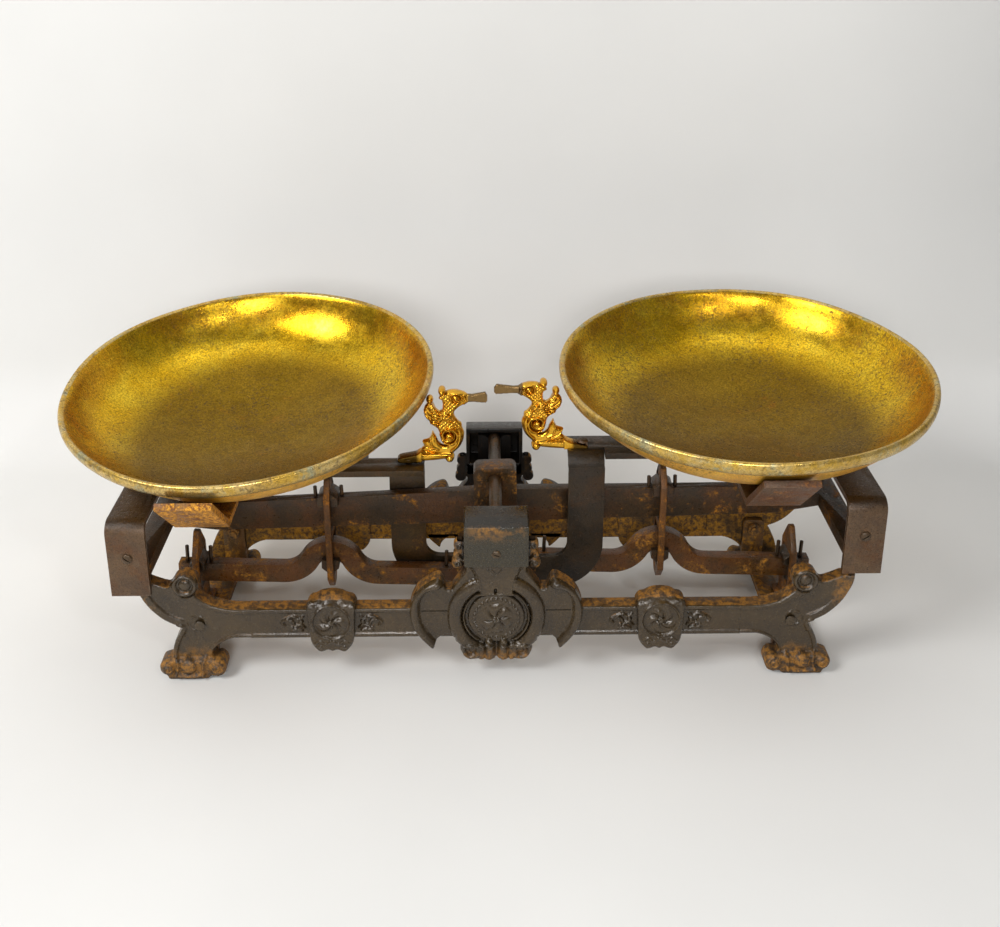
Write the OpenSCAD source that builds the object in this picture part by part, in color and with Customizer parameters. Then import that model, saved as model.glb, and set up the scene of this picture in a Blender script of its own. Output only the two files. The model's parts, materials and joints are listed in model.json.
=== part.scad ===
// Two pan counter scale: cast iron base, main beam, two links, two auxiliary levers,
// two pan carriers with pointers, and two round brass pans.
// X runs along the beam, -Y faces the viewer, Z is up, and the feet stand on Z = 0.
// Every part is drawn round the beam's middle plane and then moved to put the origin under the outline's middle.

/* [Side frames] */
// Clear width between the two side frames
frame_gap = 124; // [112:1:134]
// Thickness of each side frame
frame_t = 13; // [10:0.5:15]
// Height of the rail's top
rail_top = 61; // [58:0.5:64]
// Height of the rail from its lower to its upper edge
rail_h = 26; // [20:0.5:30]
// Thickness of the rail between its flanges
web_t = 8; // [5:0.5:9]
// Distance from each end knife in to the middle of the foot
foot_inset = 39; // [33:1:45]
// Distance from the middle to each boss
boss_reach = 125.5; // [112:0.5:136]
// Radius of the rosette on each boss
rosette_r = 13.2; // [9:0.2:15]
// Radius of the medallion in the shield
medal_r = 20; // [15:0.5:22]
// Radius of the ring round the medallion
shield_r = 36.5; // [32:0.5:40]

/* [Bearing housings] */
// Width of each bearing housing
house_w = 48; // [44:1:56]
// Depth of each bearing housing from inside to outside
house_d = 23; // [22:0.5:28]
// Height of the housing's top above the centre knife edge
house_rise = 14; // [13.6:0.2:18]
// Wall of the housing
house_wall = 3; // [2:0.2:3.2]
// Height of the front wall of the housing
house_face = 31.5; // [28:0.5:36]

/* [Cross members] */
// Width of each cross member's plate along the beam
cross_w = 28; // [26:1:30]
// Thickness of each cross member
cross_t = 6; // [4:0.5:8]
// Height of the cross member's underside
cross_z = 10; // [6:0.5:12]
// Radius of the bolts that hold the cross members
bolt_r = 3; // [2:0.25:4]

/* [Beam] */
// Height of the centre knife edge
centre_edge = 128.5; // [126:0.5:131]
// Distance from the centre knife to each end knife
beam_arm = 273; // [270:1:275]
// Place of each link knife as a share of the beam's arm
link_share = 0.4908; // [0.47:0.0002:0.51]
// Thickness of the beam's bar
beam_t = 8; // [5:0.5:10]
// Height of the beam's lower edge
beam_low = 93; // [92:0.5:97]
// Radius of the centre rod
rod_r = 5; // [4:0.25:5.5]
// Width of the beam's raised lug
lug_w = 34; // [26:1:40]
// Thickness of the beam's raised lug
lug_t = 16; // [12:1:24]
// Height of the end knife edges
end_edge = 113.5; // [112:0.5:116]
// Width of the beam's crossbars
crossbar_w = 17; // [14:1:20]
// Height of the beam's crossbars
crossbar_h = 10.5; // [8:0.5:11]
// Height of the link knife edges
link_edge = 127; // [125:0.5:129]

/* [Links] */
// Thickness of each link plate
link_t = 5; // [3:0.5:6]
// Width of each limb of a link
link_limb = 4; // [3:0.5:7]
// Metal above and below the windows of a link
link_nose = 10; // [6:0.5:13]

/* [Levers] */
// Distance from each end knife in to the lever's fulcrum
fulcrum_inset = 31; // [27:1:35]
// Height of the fulcrum knife edge
fulcrum_edge = 63; // [60:0.5:66]
// Height of the lever's lower edge
lever_low = 40; // [36:0.5:41]
// Height of the lever's bar
lever_h = 16; // [13:0.5:17]
// Thickness of the lever
lever_t = 10; // [7:0.5:12]
// Outer radius of the lever's hump
hump_r = 27.3; // [24:0.5:30]
// Height of the knife edge under the hump
hump_edge = 51; // [49:0.5:53]
// Thickness of each fulcrum post
post_t = 5; // [4:0.5:7]
// Height of the pointed top of each fulcrum post
post_top = 85; // [80:1:92]

/* [Carriers] */
// Width of the carrier's long bar
bar_w = 30; // [24:1:36]
// Thickness of the carrier's bars
bar_t = 5; // [3.5:0.5:6]
// Height of the top of the carrier's long bar
bar_top = 152.5; // [150:0.5:156]
// Distance from the middle to the inner end of the long bar
bar_inner = 57; // [54:1:60]
// Width of the strap that goes down to the lever
strap_w = 28.5; // [20:0.5:30]
// Radius of the strap's bend at its middle line
strap_bend = 26; // [22:1:30]
// Distance from each end knife in to the cross bar under the pan
cross_inset = 63; // [57:1:73]
// How far each cross bar sits to the left of its nominal place
cross_shift = 6.5; // [0:0.5:8]
// Width of the cross bar and its tabs
tab_w = 40; // [30:1:44]
// Reach of each front tab's tip as a share of the pan's radius
front_tab_share = 0.825; // [0.825:0.005:0.85]
// Rise of each front tab's tip as a share of the bowl's depth
front_rise_share = 0.595; // [0.5:0.005:0.6]
// Reach of each rear tab's tip as a share of the pan's radius
rear_tab_share = 0.7; // [0.6:0.01:0.72]
// Width of each end bracket
bracket_w = 29; // [24:1:30]
// Thickness of each end bracket
bracket_t = 4; // [3:0.25:5]
// Height of the lower end of the bracket's legs
bracket_low = 86.5; // [84:0.5:95]
// Gap between a bracket's leg and the side frame
bracket_gap = 3; // [2:0.25:5]

/* [Pans] */
// Distance from the middle to the rim of a pan in its proper place
pan_gap = 53.5; // [50:0.5:60]
// Distance from each end knife in to the middle of the pan
pan_inset = 73.5; // [70:0.5:76]
// Outside radius of the curve of each pan's floor
floor_r = 300; // [270:5:340]
// Radius of the floor as a share of the pan's edge
floor_share = 0.7; // [0.6:0.01:0.75]
// Slope of the pan's side where it meets the rim
wall_slope = 70; // [62:1:72]
// Thickness of the pan's sheet
pan_t = 2; // [1.5:0.1:3]
// Half of the height of the pan's turned rim
rim_h = 6.2; // [5:0.2:7]
// Half of the thickness of the pan's turned rim
rim_t = 3.2; // [2.6:0.1:3.6]
// How far each pan has slid to the left on its carrier
pan_slip = 5.7; // [0:0.1:8]
// Lean of the left pan towards the viewer
left_lean_front = 7; // [0:0.1:7.4]
// Lean of the left pan to its left
left_lean_side = 2; // [0:0.1:3]
// Lean of the right pan towards the viewer
right_lean_front = 3.8; // [0:0.1:7]
// Lean of the right pan to its left
right_lean_side = 1; // [0:0.1:3]

/* [Pointers] */
// Distance from the middle to the tip of each beak
tip_gap = 2.4; // [2:0.2:8]
// How far both pointers are bent to the left
pointer_shift = 4; // [0:0.5:5]
// Height of the beak's middle above the long bar
beak_rise = 52; // [46:0.5:56]
// Thickness of each pointer
pointer_t = 7; // [5:0.5:10]

/* [Rest position] */
// Turn of the unloaded beam, left end down
beam_rest = 1.5; // [0:0.1:1.8]

/* [Hidden] */
$fn = 64;

// Clearances
fit = 0.05;
seat_gap = 0.3;
slack = 1.6;

// Places along the beam, measured from the middle
link_arm = beam_arm * link_share;
foot_reach = beam_arm - foot_inset;
fulcrum_reach = beam_arm - fulcrum_inset;
cross_reach = beam_arm - cross_inset;
pan_reach = beam_arm - pan_inset;
pan_r = pan_reach - pan_gap;

// Side frames
inner_y = frame_gap / 2;
outer_y = inner_y + frame_t;
rail_low = rail_top - rail_h;
flange_t = 4.5;
lip_t = 2.5;
foot_w = 34;
toe_r = 7.2;
arm_x = foot_reach - 3;
arm_z = rail_top + 32;
arm_r = 47;
bay_x = foot_reach - 23;
bay_z = rail_top + 26;
bay_r = 26;
curl_r = 9;
curl_x = foot_reach - 0.5;
curl_z = rail_top + 25;
boss_z = rail_top - rail_h / 2;
boss_w = 38;
shield_z = rail_top - 8;

// Bearing housings
house_top = centre_edge + house_rise;
house_slope = 5;
house_out = inner_y + house_d;
house_low = house_top - house_slope - house_face;
bearing_low_z = max(centre_edge - 21.5, house_low + 1);
bearing_screw_z = centre_edge - 14;

// Cross members
cross_x = fulcrum_reach - 6;
lug_plate_t = 6;
bolt_x = foot_reach - 8;
bolt_z = 47;
cross_in = min(cross_x - cross_w / 2, bolt_x - 4);
cross_out = max(cross_x + cross_w / 2, bolt_x + 4);

// Beam
rod_z = centre_edge + rod_r - 0.5;
lug_top = rod_z + rod_r + 5;
beam_top = centre_edge - 6;
crossbar_top = end_edge - 4.5;
crossbar_low = crossbar_top - crossbar_h;
crossbar_x = beam_arm + 4 - crossbar_w / 2;
crossbar_in = crossbar_x - crossbar_w / 2;
leg_y = outer_y + bracket_gap;
crossbar_y = leg_y - 0.8;
knife_len = 11;
end_knife_w = 7;

// Link knives and links
link_knife_w = 16;
link_knife_y = 9.5;
window_y = link_knife_y + 1;
link_y = window_y + link_limb;
pin_r = 1.5;
pin_off = 10.5;
pin_len = 20;

// Levers
lever_p = fulcrum_reach - link_arm;
lever_q = lever_p * beam_arm / link_arm;
inner_x = fulcrum_reach - lever_q;
lever_end = fulcrum_reach + 16;
lever_top = lever_low + lever_h;
hump_in = hump_r - lever_h;
hump_z = lever_top - 4;
fillet_r = 16;
fillet_x = sqrt(pow(hump_r + fillet_r, 2) - pow(lever_top + fillet_r - hump_z, 2));
fillet_a = atan2(lever_top + fillet_r - hump_z, fillet_x);
inner_z = lever_low + 5;
inner_pin_r = 3;

// Carriers
bar_low = bar_top - bar_t;
bar_outer = beam_arm + bracket_w / 2;
strap_t = bar_t;
strap_x = bar_inner + strap_w / 2 + 0.5;
strap_front = -bar_w / 2;
bearing_w = 16;
bearing_h = 15.5;
bearing_d = 12;
bearing_low = crossbar_top + 1.2;
bearing_notch = end_edge + seat_gap;
screw_r = 2.5;
screw_head = 4.8;
bracket_top = bar_low;
fold_r = 10;
rivet_r = 3;
rivet_off = 8;

// Pans
bowl_edge = pan_r - 3.1;
floor_w = bowl_edge * floor_share;
floor_a = asin(floor_w / floor_r);
side_r = (bowl_edge - floor_w) / (sin(wall_slope) - sin(floor_a));
side_x = floor_w - side_r * sin(floor_a);
side_z = (side_r - floor_r) * cos(floor_a);
edge_z = side_z - side_r * cos(wall_slope);
rim_down = 4.5;
rim_out = 1.2;
bowl_z = bar_top + seat_gap + floor_r;
front_tab = pan_r * front_tab_share;
rear_tab = pan_r * rear_tab_share;
front_tip_z = bar_top + front_rise_share * (floor_r + edge_z);

// Middle of the whole outline from front to rear, between the left pan's rear and the right pan's front
middle_y = (rim_y(left_lean_front, 1) + rim_y(right_lean_front, -1)) / 2;

// Pointers
rail_z = bar_top;

// Place of a beam point, given at x and z in the level beam, when the beam is at rest
function beam_point(x, z) = [
    x * cos(beam_rest) - (z - centre_edge) * sin(beam_rest),
    centre_edge + x * sin(beam_rest) + (z - centre_edge) * cos(beam_rest)
];

// How far a point of the beam moves from the level beam to the rest position
function beam_move(x, z) = beam_point(x, z) - [x, z];

// Turn of both levers at rest
lever_rest = asin(link_arm * sin(beam_rest) / lever_p);

// Height of the bowl's underside at a distance from the bowl's middle
function bowl_under(d) = bowl_z - sqrt(floor_r * floor_r - d * d);

// Places along Y of the section's points of a leaning rim, to the rear (end = 1) or to the front (end = -1)
function rim_ys(lean, end) = [for (q = rim_points()) end * q[0] * cos(lean) - q[1] * sin(lean)];

// Furthest of these places
function rim_y(lean, end) = end > 0 ? max(rim_ys(lean, end)) : min(rim_ys(lean, end));

// Puts a part of the right side on the right (side = 1) or on the left (side = -1)
module at_side(side) {
    rotate([0, 0, side > 0 ? 0 : 180]) children();
}

// Turns a part with the beam
module on_beam() {
    translate([0, 0, centre_edge]) rotate([0, -beam_rest, 0]) translate([0, 0, -centre_edge]) children();
}

// Moves a part with the end knife that carries it
module on_carrier(side) {
    move = beam_move(side * beam_arm, end_edge);
    translate([move[0], 0, move[1]]) at_side(side) children();
}

// Moves a part with the link knife that carries it
module on_link(side) {
    move = beam_move(side * link_arm, link_edge);
    translate([move[0], 0, move[1]]) at_side(side) children();
}

// Turns a part with the lever on its fulcrum
module on_lever(side) {
    translate([side * fulcrum_reach, 0, fulcrum_edge]) rotate([0, lever_rest, 0])
        translate([-side * fulcrum_reach, 0, -fulcrum_edge]) at_side(side) children();
}

// Puts the origin under the middle of the whole outline
module placed() {
    translate([0, -middle_y, 0]) children();
}

// A flat shape drawn in X and Z, from y0 to y1
module upright(y0, y1) {
    translate([0, y1, 0]) rotate([90, 0, 0]) linear_extrude(y1 - y0) children();
}

// A flat shape drawn in Y and Z, from x0 to x1
module sideways(x0, x1) {
    translate([x0, 0, 0]) rotate([90, 0, 90]) linear_extrude(x1 - x0) children();
}

// A rectangle from one corner to the other
module area(x0, y0, x1, y1) {
    translate([x0, y0]) square([x1 - x0, y1 - y0]);
}

// A box from one corner to the other
module block(p, q) {
    translate(p) cube(q - p);
}

// A round bar along Y
module bar_y(x, z, r, y0, y1) {
    translate([x, y1, z]) rotate([90, 0, 0]) cylinder(r = r, h = y1 - y0);
}

// A rectangle with rounded corners
module soft_area(x0, y0, x1, y1, r) {
    area(x0 + r, y0, x1 - r, y1);
    area(x0, y0 + r, x1, y1 - r);
    for (x = [x0 + r, x1 - r], y = [y0 + r, y1 - r]) translate([x, y]) circle(r);
}

// Both halves of a shape that is drawn for the right half
module both_halves() {
    children();
    mirror([1, 0]) children();
}

// Upswept end of the rail with its inward curl
module arm_outline() {
    difference() {
        translate([arm_x, arm_z]) circle(arm_r);
        translate([bay_x, bay_z]) circle(bay_r);
        area(arm_x - arm_r - 1, rail_top + 30, arm_x + arm_r + 1, arm_z + arm_r + 1);
        area(arm_x - arm_r - 1, rail_low - 10, bay_x, arm_z + arm_r + 1);
        polygon([
            [foot_reach + 12, rail_top + 31], [foot_reach + 24, rail_top + 25],
            [foot_reach + 33, rail_top + 20.5], [foot_reach + 43, rail_top + 17],
            [foot_reach + 60, rail_top + 17], [foot_reach + 60, rail_top + 31]
        ]);
    }
    difference() {
        translate([curl_x, curl_z]) circle(curl_r);
        translate([curl_x, curl_z]) circle(curl_r - 5);
    }
    translate([curl_x, curl_z]) circle(curl_r - 6.5);
    area(curl_x - 1, curl_z - 2, curl_x + curl_r, curl_z + 2);
}

// Splayed scroll foot with its two toes
module foot_outline() {
    difference() {
        polygon([
            [foot_reach - 36, rail_low], [foot_reach - 21, rail_low - 6], [foot_reach - 13, rail_low - 14],
            [foot_reach - 13, 0], [foot_reach + 14, 0], [foot_reach + 13, rail_low - 15],
            [foot_reach + 8, rail_low + 1], [foot_reach + 2, rail_low + 14], [bay_x, rail_low + 14],
            [bay_x, rail_low + lip_t], [foot_reach - 36, rail_low + lip_t]
        ]);
        translate([foot_reach - 36, rail_low - 20]) circle(20);
    }
    translate([foot_reach - foot_w / 2 + 1.5, toe_r + 2.5]) circle(toe_r);
    translate([foot_reach + foot_w / 2, toe_r + 1]) circle(toe_r - 0.5);
    area(foot_reach - foot_w / 2 + 1.5, 0, foot_reach + foot_w / 2, 9);
}

// Lobed boss on the rail
module boss_outline() {
    translate([boss_reach, boss_z]) circle(boss_w / 2 - 0.5);
    soft_area(boss_reach - boss_w / 2, boss_z + 5, boss_reach + boss_w / 2, rail_top + 8, 7);
    soft_area(boss_reach - boss_w / 2 + 3, rail_low - 13, boss_reach + boss_w / 2 - 3, boss_z - 5, 5);
}

// Crescent of the C scroll at each side of the shield
module crescent_outline() {
    difference() {
        translate([shield_r - 2, shield_z]) circle(30.5);
        translate([shield_r - 8, shield_z + 4]) circle(26.5);
        area(-10, shield_z - 60, shield_r + 6, shield_z + 60);
        polygon([
            [shield_r + 5, shield_z - 60], [shield_r + 5, shield_z - 20],
            [shield_r + 12, shield_z - 29], [shield_r + 30, shield_z - 42], [shield_r + 30, shield_z - 60]
        ]);
    }
    translate([shield_r + 8, shield_z + 26]) circle(5);
}

// Shield in the middle, up to the housing
module shield_outline() {
    translate([0, shield_z]) circle(shield_r);
    polygon([
        [-house_w / 2, house_low], [house_w / 2, house_low], [house_w / 2 + 3.5, house_low - 12],
        [shield_r - 2, shield_z + 18], [-shield_r + 2, shield_z + 18], [-house_w / 2 - 3.5, house_low - 12]
    ]);
    for (side = [-1, 1]) {
        translate([side * 15, shield_z - 31]) circle(11);
        translate([side * 29, shield_z - 22]) circle(5);
        translate([side * (shield_r - 6), shield_z + 36]) circle(4.5);
    }
}

// Outline of a whole side frame at its full thickness
module frame_outline() {
    both_halves() {
        arm_outline();
        foot_outline();
        boss_outline();
        crescent_outline();
        area(shield_r - 4, rail_top - flange_t, bay_x + 0.5, rail_top);
        area(shield_r - 4, rail_low, foot_reach - 36, rail_low + lip_t);
    }
    shield_outline();
}

// Box that holds the centre bearing, open to the inside and below
module housing() {
    difference() {
        sideways(-house_w / 2, house_w / 2) polygon([
            [-house_out, house_low], [-inner_y, house_low - 6], [-inner_y, house_top],
            [-house_out, house_top - house_slope]
        ]);
        sideways(-house_w / 2 + house_wall, house_w / 2 - house_wall) polygon([
            [-house_out + house_wall, bearing_low_z], [-inner_y + 1, bearing_low_z],
            [-inner_y + 1, house_top - house_wall],
            [-house_out + house_wall, house_top - house_wall - house_slope]
        ]);
        bar_y(0, bearing_screw_z, screw_r + fit, -house_out - 1, -house_out + house_wall + 1);
    }
}

// One side frame, drawn in front
module side_frame() {
    difference() {
        union() {
            upright(-outer_y, -inner_y) frame_outline();
            upright(-outer_y + 3, -outer_y + 3 + web_t)
                area(-bay_x - 3, rail_low, bay_x + 3, rail_top);
            upright(-outer_y - 3, -outer_y) both_halves() {
                translate([boss_reach, boss_z]) circle(rosette_r + 3);
                crescent_outline();
            }
            upright(-outer_y - 5, -outer_y - 2) both_halves() translate([boss_reach, boss_z]) circle(rosette_r);
            upright(-outer_y - 4, -outer_y) difference() {
                translate([0, shield_z]) circle(shield_r - 1);
                translate([0, shield_z]) circle(medal_r + 4);
                area(-house_w / 2 + 9, shield_z + 10, house_w / 2 - 9, shield_z + 60);
                area(-8, shield_z - 60, 8, shield_z - 10);
            }
            upright(-outer_y - 3, -outer_y) translate([0, shield_z]) circle(medal_r);
            upright(-outer_y - 3, -outer_y) polygon([
                [-house_w / 2, house_low], [house_w / 2, house_low], [14, shield_z + 30],
                [14, shield_z + 18], [-14, shield_z + 18], [-14, shield_z + 30]
            ]);
            housing();
        }
        both_halves_3d() bar_y(bolt_x, bolt_z, bolt_r + fit, -outer_y - 1, -inner_y + 1);
    }
}

// Both halves of a solid that is drawn for the right half
module both_halves_3d() {
    children();
    mirror([1, 0, 0]) children();
}

module front_frame() {
    color("darkslategray") placed() side_frame();
}

module rear_frame() {
    color("darkslategray") placed() rotate([0, 0, 180]) side_frame();
}

// Plate between the feet, with a lug at each end that is bolted to a side frame
module cross_member() {
    difference() {
        union() {
            block([cross_in, -inner_y, cross_z], [cross_out, inner_y, cross_z + cross_t]);
            for (end = [0, 1]) mirror([0, end, 0])
                upright(-inner_y, -inner_y + lug_plate_t)
                    soft_area(bolt_x - 9, cross_z, bolt_x + 9, bolt_z + 8, 4);
        }
        bar_y(bolt_x, bolt_z, bolt_r + fit, -inner_y - 1, inner_y + 1);
    }
}

module left_cross_member() {
    color("saddlebrown") placed() at_side(-1) cross_member();
}

module right_cross_member() {
    color("saddlebrown") placed() at_side(1) cross_member();
}

// Bolt through frame and lug, with its domed head outside and its nut inside
module frame_bolt() {
    nut_y = -inner_y + lug_plate_t;
    bar_y(bolt_x, bolt_z, bolt_r, -outer_y, nut_y + 5);
    bar_y(bolt_x, bolt_z, bolt_r + 2, -outer_y - 2, -outer_y);
    translate([bolt_x, nut_y + 4, bolt_z]) rotate([90, 0, 0]) cylinder(r = bolt_r * 1.9, h = 4, $fn = 6);
}

module frame_bolts() {
    color("dimgray") placed() for (side = [-1, 1], end = [0, 1])
        at_side(side) mirror([0, end, 0]) frame_bolt();
}

// Upright shackle plate with a pointed top and a window for the lever's knife
module fulcrum_post() {
    foot_z = cross_z + cross_t;
    difference() {
        union() {
            sideways(fulcrum_reach - post_t / 2, fulcrum_reach + post_t / 2) polygon([
                [-link_y, foot_z], [-link_y, fulcrum_edge + 4], [-5, post_top - 4], [-2, post_top],
                [2, post_top], [5, post_top - 4], [link_y, fulcrum_edge + 4], [link_y, foot_z]
            ]);
            block([fulcrum_reach - 8, -link_y, foot_z], [fulcrum_reach + 8, link_y, foot_z + 4]);
        }
        sideways(fulcrum_reach - post_t, fulcrum_reach + post_t)
            area(-window_y, lever_low - 5, window_y, fulcrum_edge + seat_gap);
    }
}

module left_fulcrum_post() {
    color("sienna") placed() at_side(-1) fulcrum_post();
}

module right_fulcrum_post() {
    color("sienna") placed() at_side(1) fulcrum_post();
}

// Notched block on which the centre knife rests
module centre_bearing() {
    difference() {
        block([-14, -house_out + house_wall, bearing_low_z], [14, -inner_y - 3, centre_edge + 6]);
        upright(-house_out, -inner_y) polygon([
            [0, centre_edge - seat_gap], [10, centre_edge + 7], [-10, centre_edge + 7]
        ]);
        bar_y(0, bearing_screw_z, screw_r + fit, -house_out, -inner_y - 6);
    }
}

module centre_bearings() {
    color("slategray") placed() for (side = [-1, 1]) at_side(side) centre_bearing();
}

// Slotted screw along Y with its head at y and its shank behind it
module screw_y(x, y, z, length) {
    bar_y(x, z, screw_r, y, y + length);
    difference() {
        bar_y(x, z, screw_head, y - 2.2, y);
        translate([x, y - 2.2, z]) rotate([0, 35, 0]) cube([12, 2.4, 1.2], center = true);
    }
}

module centre_bearing_screws() {
    color("dimgray") placed() for (side = [-1, 1]) at_side(side)
        screw_y(0, -house_out, bearing_screw_z, house_d - 8);
}

// Right half of the beam's long bar
function beam_half() = [
    [0, beam_top], [link_arm * 0.67, beam_top - 2.5], [fulcrum_reach - 37, beam_top - 5],
    [crossbar_in + 1, crossbar_top], [crossbar_in + 1, crossbar_low],
    [fulcrum_reach - 17, beam_low], [0, beam_low]
];

module beam() {
    color("saddlebrown") placed() on_beam() difference() {
        union() {
            upright(-beam_t / 2, beam_t / 2) both_halves() polygon(beam_half());
            upright(-lug_t / 2, lug_t / 2) soft_area(-lug_w / 2, beam_low, lug_w / 2, lug_top, 5);
            for (side = [-1, 1]) at_side(side)
                block([crossbar_in, -crossbar_y, crossbar_low], [crossbar_in + crossbar_w, crossbar_y, crossbar_top]);
        }
        bar_y(0, rod_z, rod_r + fit, -lug_t, lug_t);
        for (side = [-1, 1]) at_side(side) {
            block([link_arm - link_knife_w / 2, -beam_t, link_edge - 13],
                  [link_arm + link_knife_w / 2, beam_t, link_edge + 5]);
            for (off = [-pin_off, pin_off])
                translate([link_arm + off, 0, link_edge - pin_len + 1]) cylinder(r = pin_r + fit, h = 2 * pin_len);
        }
    }
}

// Rod through the lug, with a downward knife edge at each end
module centre_knife() {
    color("slategray") placed() on_beam() {
        bar_y(0, rod_z, rod_r, -inner_y - 2, inner_y + 2);
        for (side = [-1, 1]) at_side(side) upright(-house_out + house_wall + 3, -inner_y - 2) polygon([
            [0, centre_edge], [4.4, centre_edge + 4.2], [4.4, centre_edge + 5.8],
            [-4.4, centre_edge + 5.8], [-4.4, centre_edge + 4.2]
        ]);
    }
}

// Upward knife edge on a crossbar
module end_knife() {
    upright(crossbar_y - knife_len, crossbar_y) polygon([
        [beam_arm - end_knife_w / 2, crossbar_top], [beam_arm + end_knife_w / 2, crossbar_top], [beam_arm, end_edge]
    ]);
}

module end_knives() {
    color("slategray") placed() on_beam() for (side = [-1, 1], end = [0, 1])
        at_side(side) mirror([0, end, 0]) end_knife();
}

// Upward knife edge let into the beam's top
module link_knives() {
    color("slategray") placed() on_beam() for (side = [-1, 1]) at_side(side)
        upright(-link_knife_y, link_knife_y) polygon([
            [link_arm - link_knife_w / 2, link_edge - 13], [link_arm + link_knife_w / 2, link_edge - 13],
            [link_arm + link_knife_w / 2, link_edge - 6], [link_arm, link_edge], [link_arm - link_knife_w / 2, link_edge - 6]
        ]);
}

module beam_pins() {
    color("black") placed() on_beam() for (side = [-1, 1], off = [-pin_off, pin_off])
        at_side(side) translate([link_arm + off, 0, link_edge - pin_len + 1]) cylinder(r = pin_r, h = pin_len);
}

// Upright looped plate that hangs from the beam and holds up the lever
module link() {
    top = link_edge + seat_gap + link_nose;
    bottom = hump_edge - seat_gap - link_nose - 3;
    bridge = beam_low - 3;
    difference() {
        sideways(link_arm - link_t / 2, link_arm + link_t / 2) polygon([
            [-5, bottom], [5, bottom], [link_y, hump_edge - 2], [link_y, link_edge - 3],
            [5, top], [-5, top], [-link_y, link_edge - 3], [-link_y, hump_edge - 2]
        ]);
        sideways(link_arm - link_t, link_arm + link_t) {
            area(-window_y, bridge, window_y, link_edge + seat_gap);
            area(-window_y, hump_edge - seat_gap, window_y, bridge - 6);
        }
    }
}

module left_link() {
    color("saddlebrown") placed() on_link(-1) link();
}

module right_link() {
    color("saddlebrown") placed() on_link(1) link();
}

// Points on an arc in steps from angle a0 to a1, without its first point
function arc(x, z, r, a0, a1, steps = 10) =
    [for (i = [1:steps]) let (a = a0 + (a1 - a0) * i / steps) [x + r * cos(a), z + r * sin(a)]];

// Upper edge of the lever from the top of the hump to its end at u
function lever_upper(u) = concat(
    arc(0, hump_z, hump_r, 90, fillet_a),
    arc(fillet_x, lever_top + fillet_r, fillet_r, 180 + fillet_a, 270),
    [[u, lever_top]]
);

// Lower edge of the lever from the top of the hollow to its end at u
function lever_lower(u) = concat(
    arc(0, hump_z, hump_in, 90, fillet_a),
    arc(fillet_x, lever_top + fillet_r, fillet_r + lever_h, 180 + fillet_a, 270),
    [[u, lever_low]]
);

// The same points in the opposite order
function backwards(points) = [for (i = [len(points) - 1:-1:0]) points[i]];

// The same points on the other side of the middle
function flipped(points) = [for (p = points) [-p[0], p[1]]];

// Outline of a lever: straight bar with a hump over the link
module lever_outline() {
    outer = lever_end - link_arm;
    inner = link_arm - inner_x + 8;
    translate([link_arm, 0]) polygon(concat(
        [[0, hump_z + hump_r]], lever_upper(outer), backwards(lever_lower(outer)),
        [[0, hump_z + hump_in]], flipped(lever_lower(inner)), backwards(flipped(lever_upper(inner)))
    ));
}

// Auxiliary lever with its pockets and holes
module lever() {
    difference() {
        upright(-lever_t / 2, lever_t / 2) lever_outline();
        block([link_arm - 7, -lever_t, hump_edge], [link_arm + 7, lever_t, hump_z + hump_in + 1]);
        block([fulcrum_reach - 6, -lever_t, lever_top - 3], [fulcrum_reach + 6, lever_t, lever_top + 5]);
        bar_y(inner_x, inner_z, inner_pin_r + fit, -lever_t, lever_t);
        for (x = lever_pin_x) translate([x, 0, lever_top - 10]) cylinder(r = pin_r + fit, h = 20);
    }
}
lever_pin_x = [inner_x + 18, fulcrum_reach - 9.5, fulcrum_reach + 9.5];

// The three knives of a lever: under the hump, at the fulcrum and at the inner end
module lever_knives() {
    upright(-link_knife_y, link_knife_y) {
        polygon([
            [link_arm - 7, hump_z + hump_in + 1], [link_arm - 7, hump_edge + 6], [link_arm, hump_edge],
            [link_arm + 7, hump_edge + 6], [link_arm + 7, hump_z + hump_in + 1]
        ]);
        polygon([
            [fulcrum_reach - 6, lever_top - 3], [fulcrum_reach + 6, lever_top - 3], [fulcrum_reach + 6, lever_top + 2],
            [fulcrum_reach, fulcrum_edge], [fulcrum_reach - 6, lever_top + 2]
        ]);
    }
    bar_y(inner_x, inner_z, inner_pin_r, strap_front - 2, lever_t / 2);
}

// Small upright pins on a lever
module lever_pins() {
    for (x = lever_pin_x) translate([x, 0, lever_top - 10]) cylinder(r = pin_r, h = 24);
}

module left_lever() {
    color("saddlebrown") placed() on_lever(-1) lever();
}

module left_lever_knives() {
    color("slategray") placed() on_lever(-1) lever_knives();
}

module left_lever_pins() {
    color("black") placed() on_lever(-1) lever_pins();
}

module right_lever() {
    color("saddlebrown") placed() on_lever(1) lever();
}

module right_lever_knives() {
    color("slategray") placed() on_lever(1) lever_knives();
}

module right_lever_pins() {
    color("black") placed() on_lever(1) lever_pins();
}

// Outline of the strap that curves towards the middle and ends in an eye
module strap_outline() {
    bend_x = strap_x - strap_bend;
    bend_z = inner_z + strap_bend;
    area(strap_x - strap_w / 2, bend_z, strap_x + strap_w / 2, bar_low + 0.5);
    intersection() {
        difference() {
            translate([bend_x, bend_z]) circle(strap_bend + strap_w / 2);
            translate([bend_x, bend_z]) circle(strap_bend - strap_w / 2);
        }
        area(bend_x, bend_z - strap_bend - strap_w, bend_x + strap_bend + strap_w, bend_z);
    }
    area(inner_x, inner_z - strap_w / 2, bend_x, inner_z + strap_w / 2);
    translate([inner_x, inner_z]) circle(strap_w / 2);
}

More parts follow.
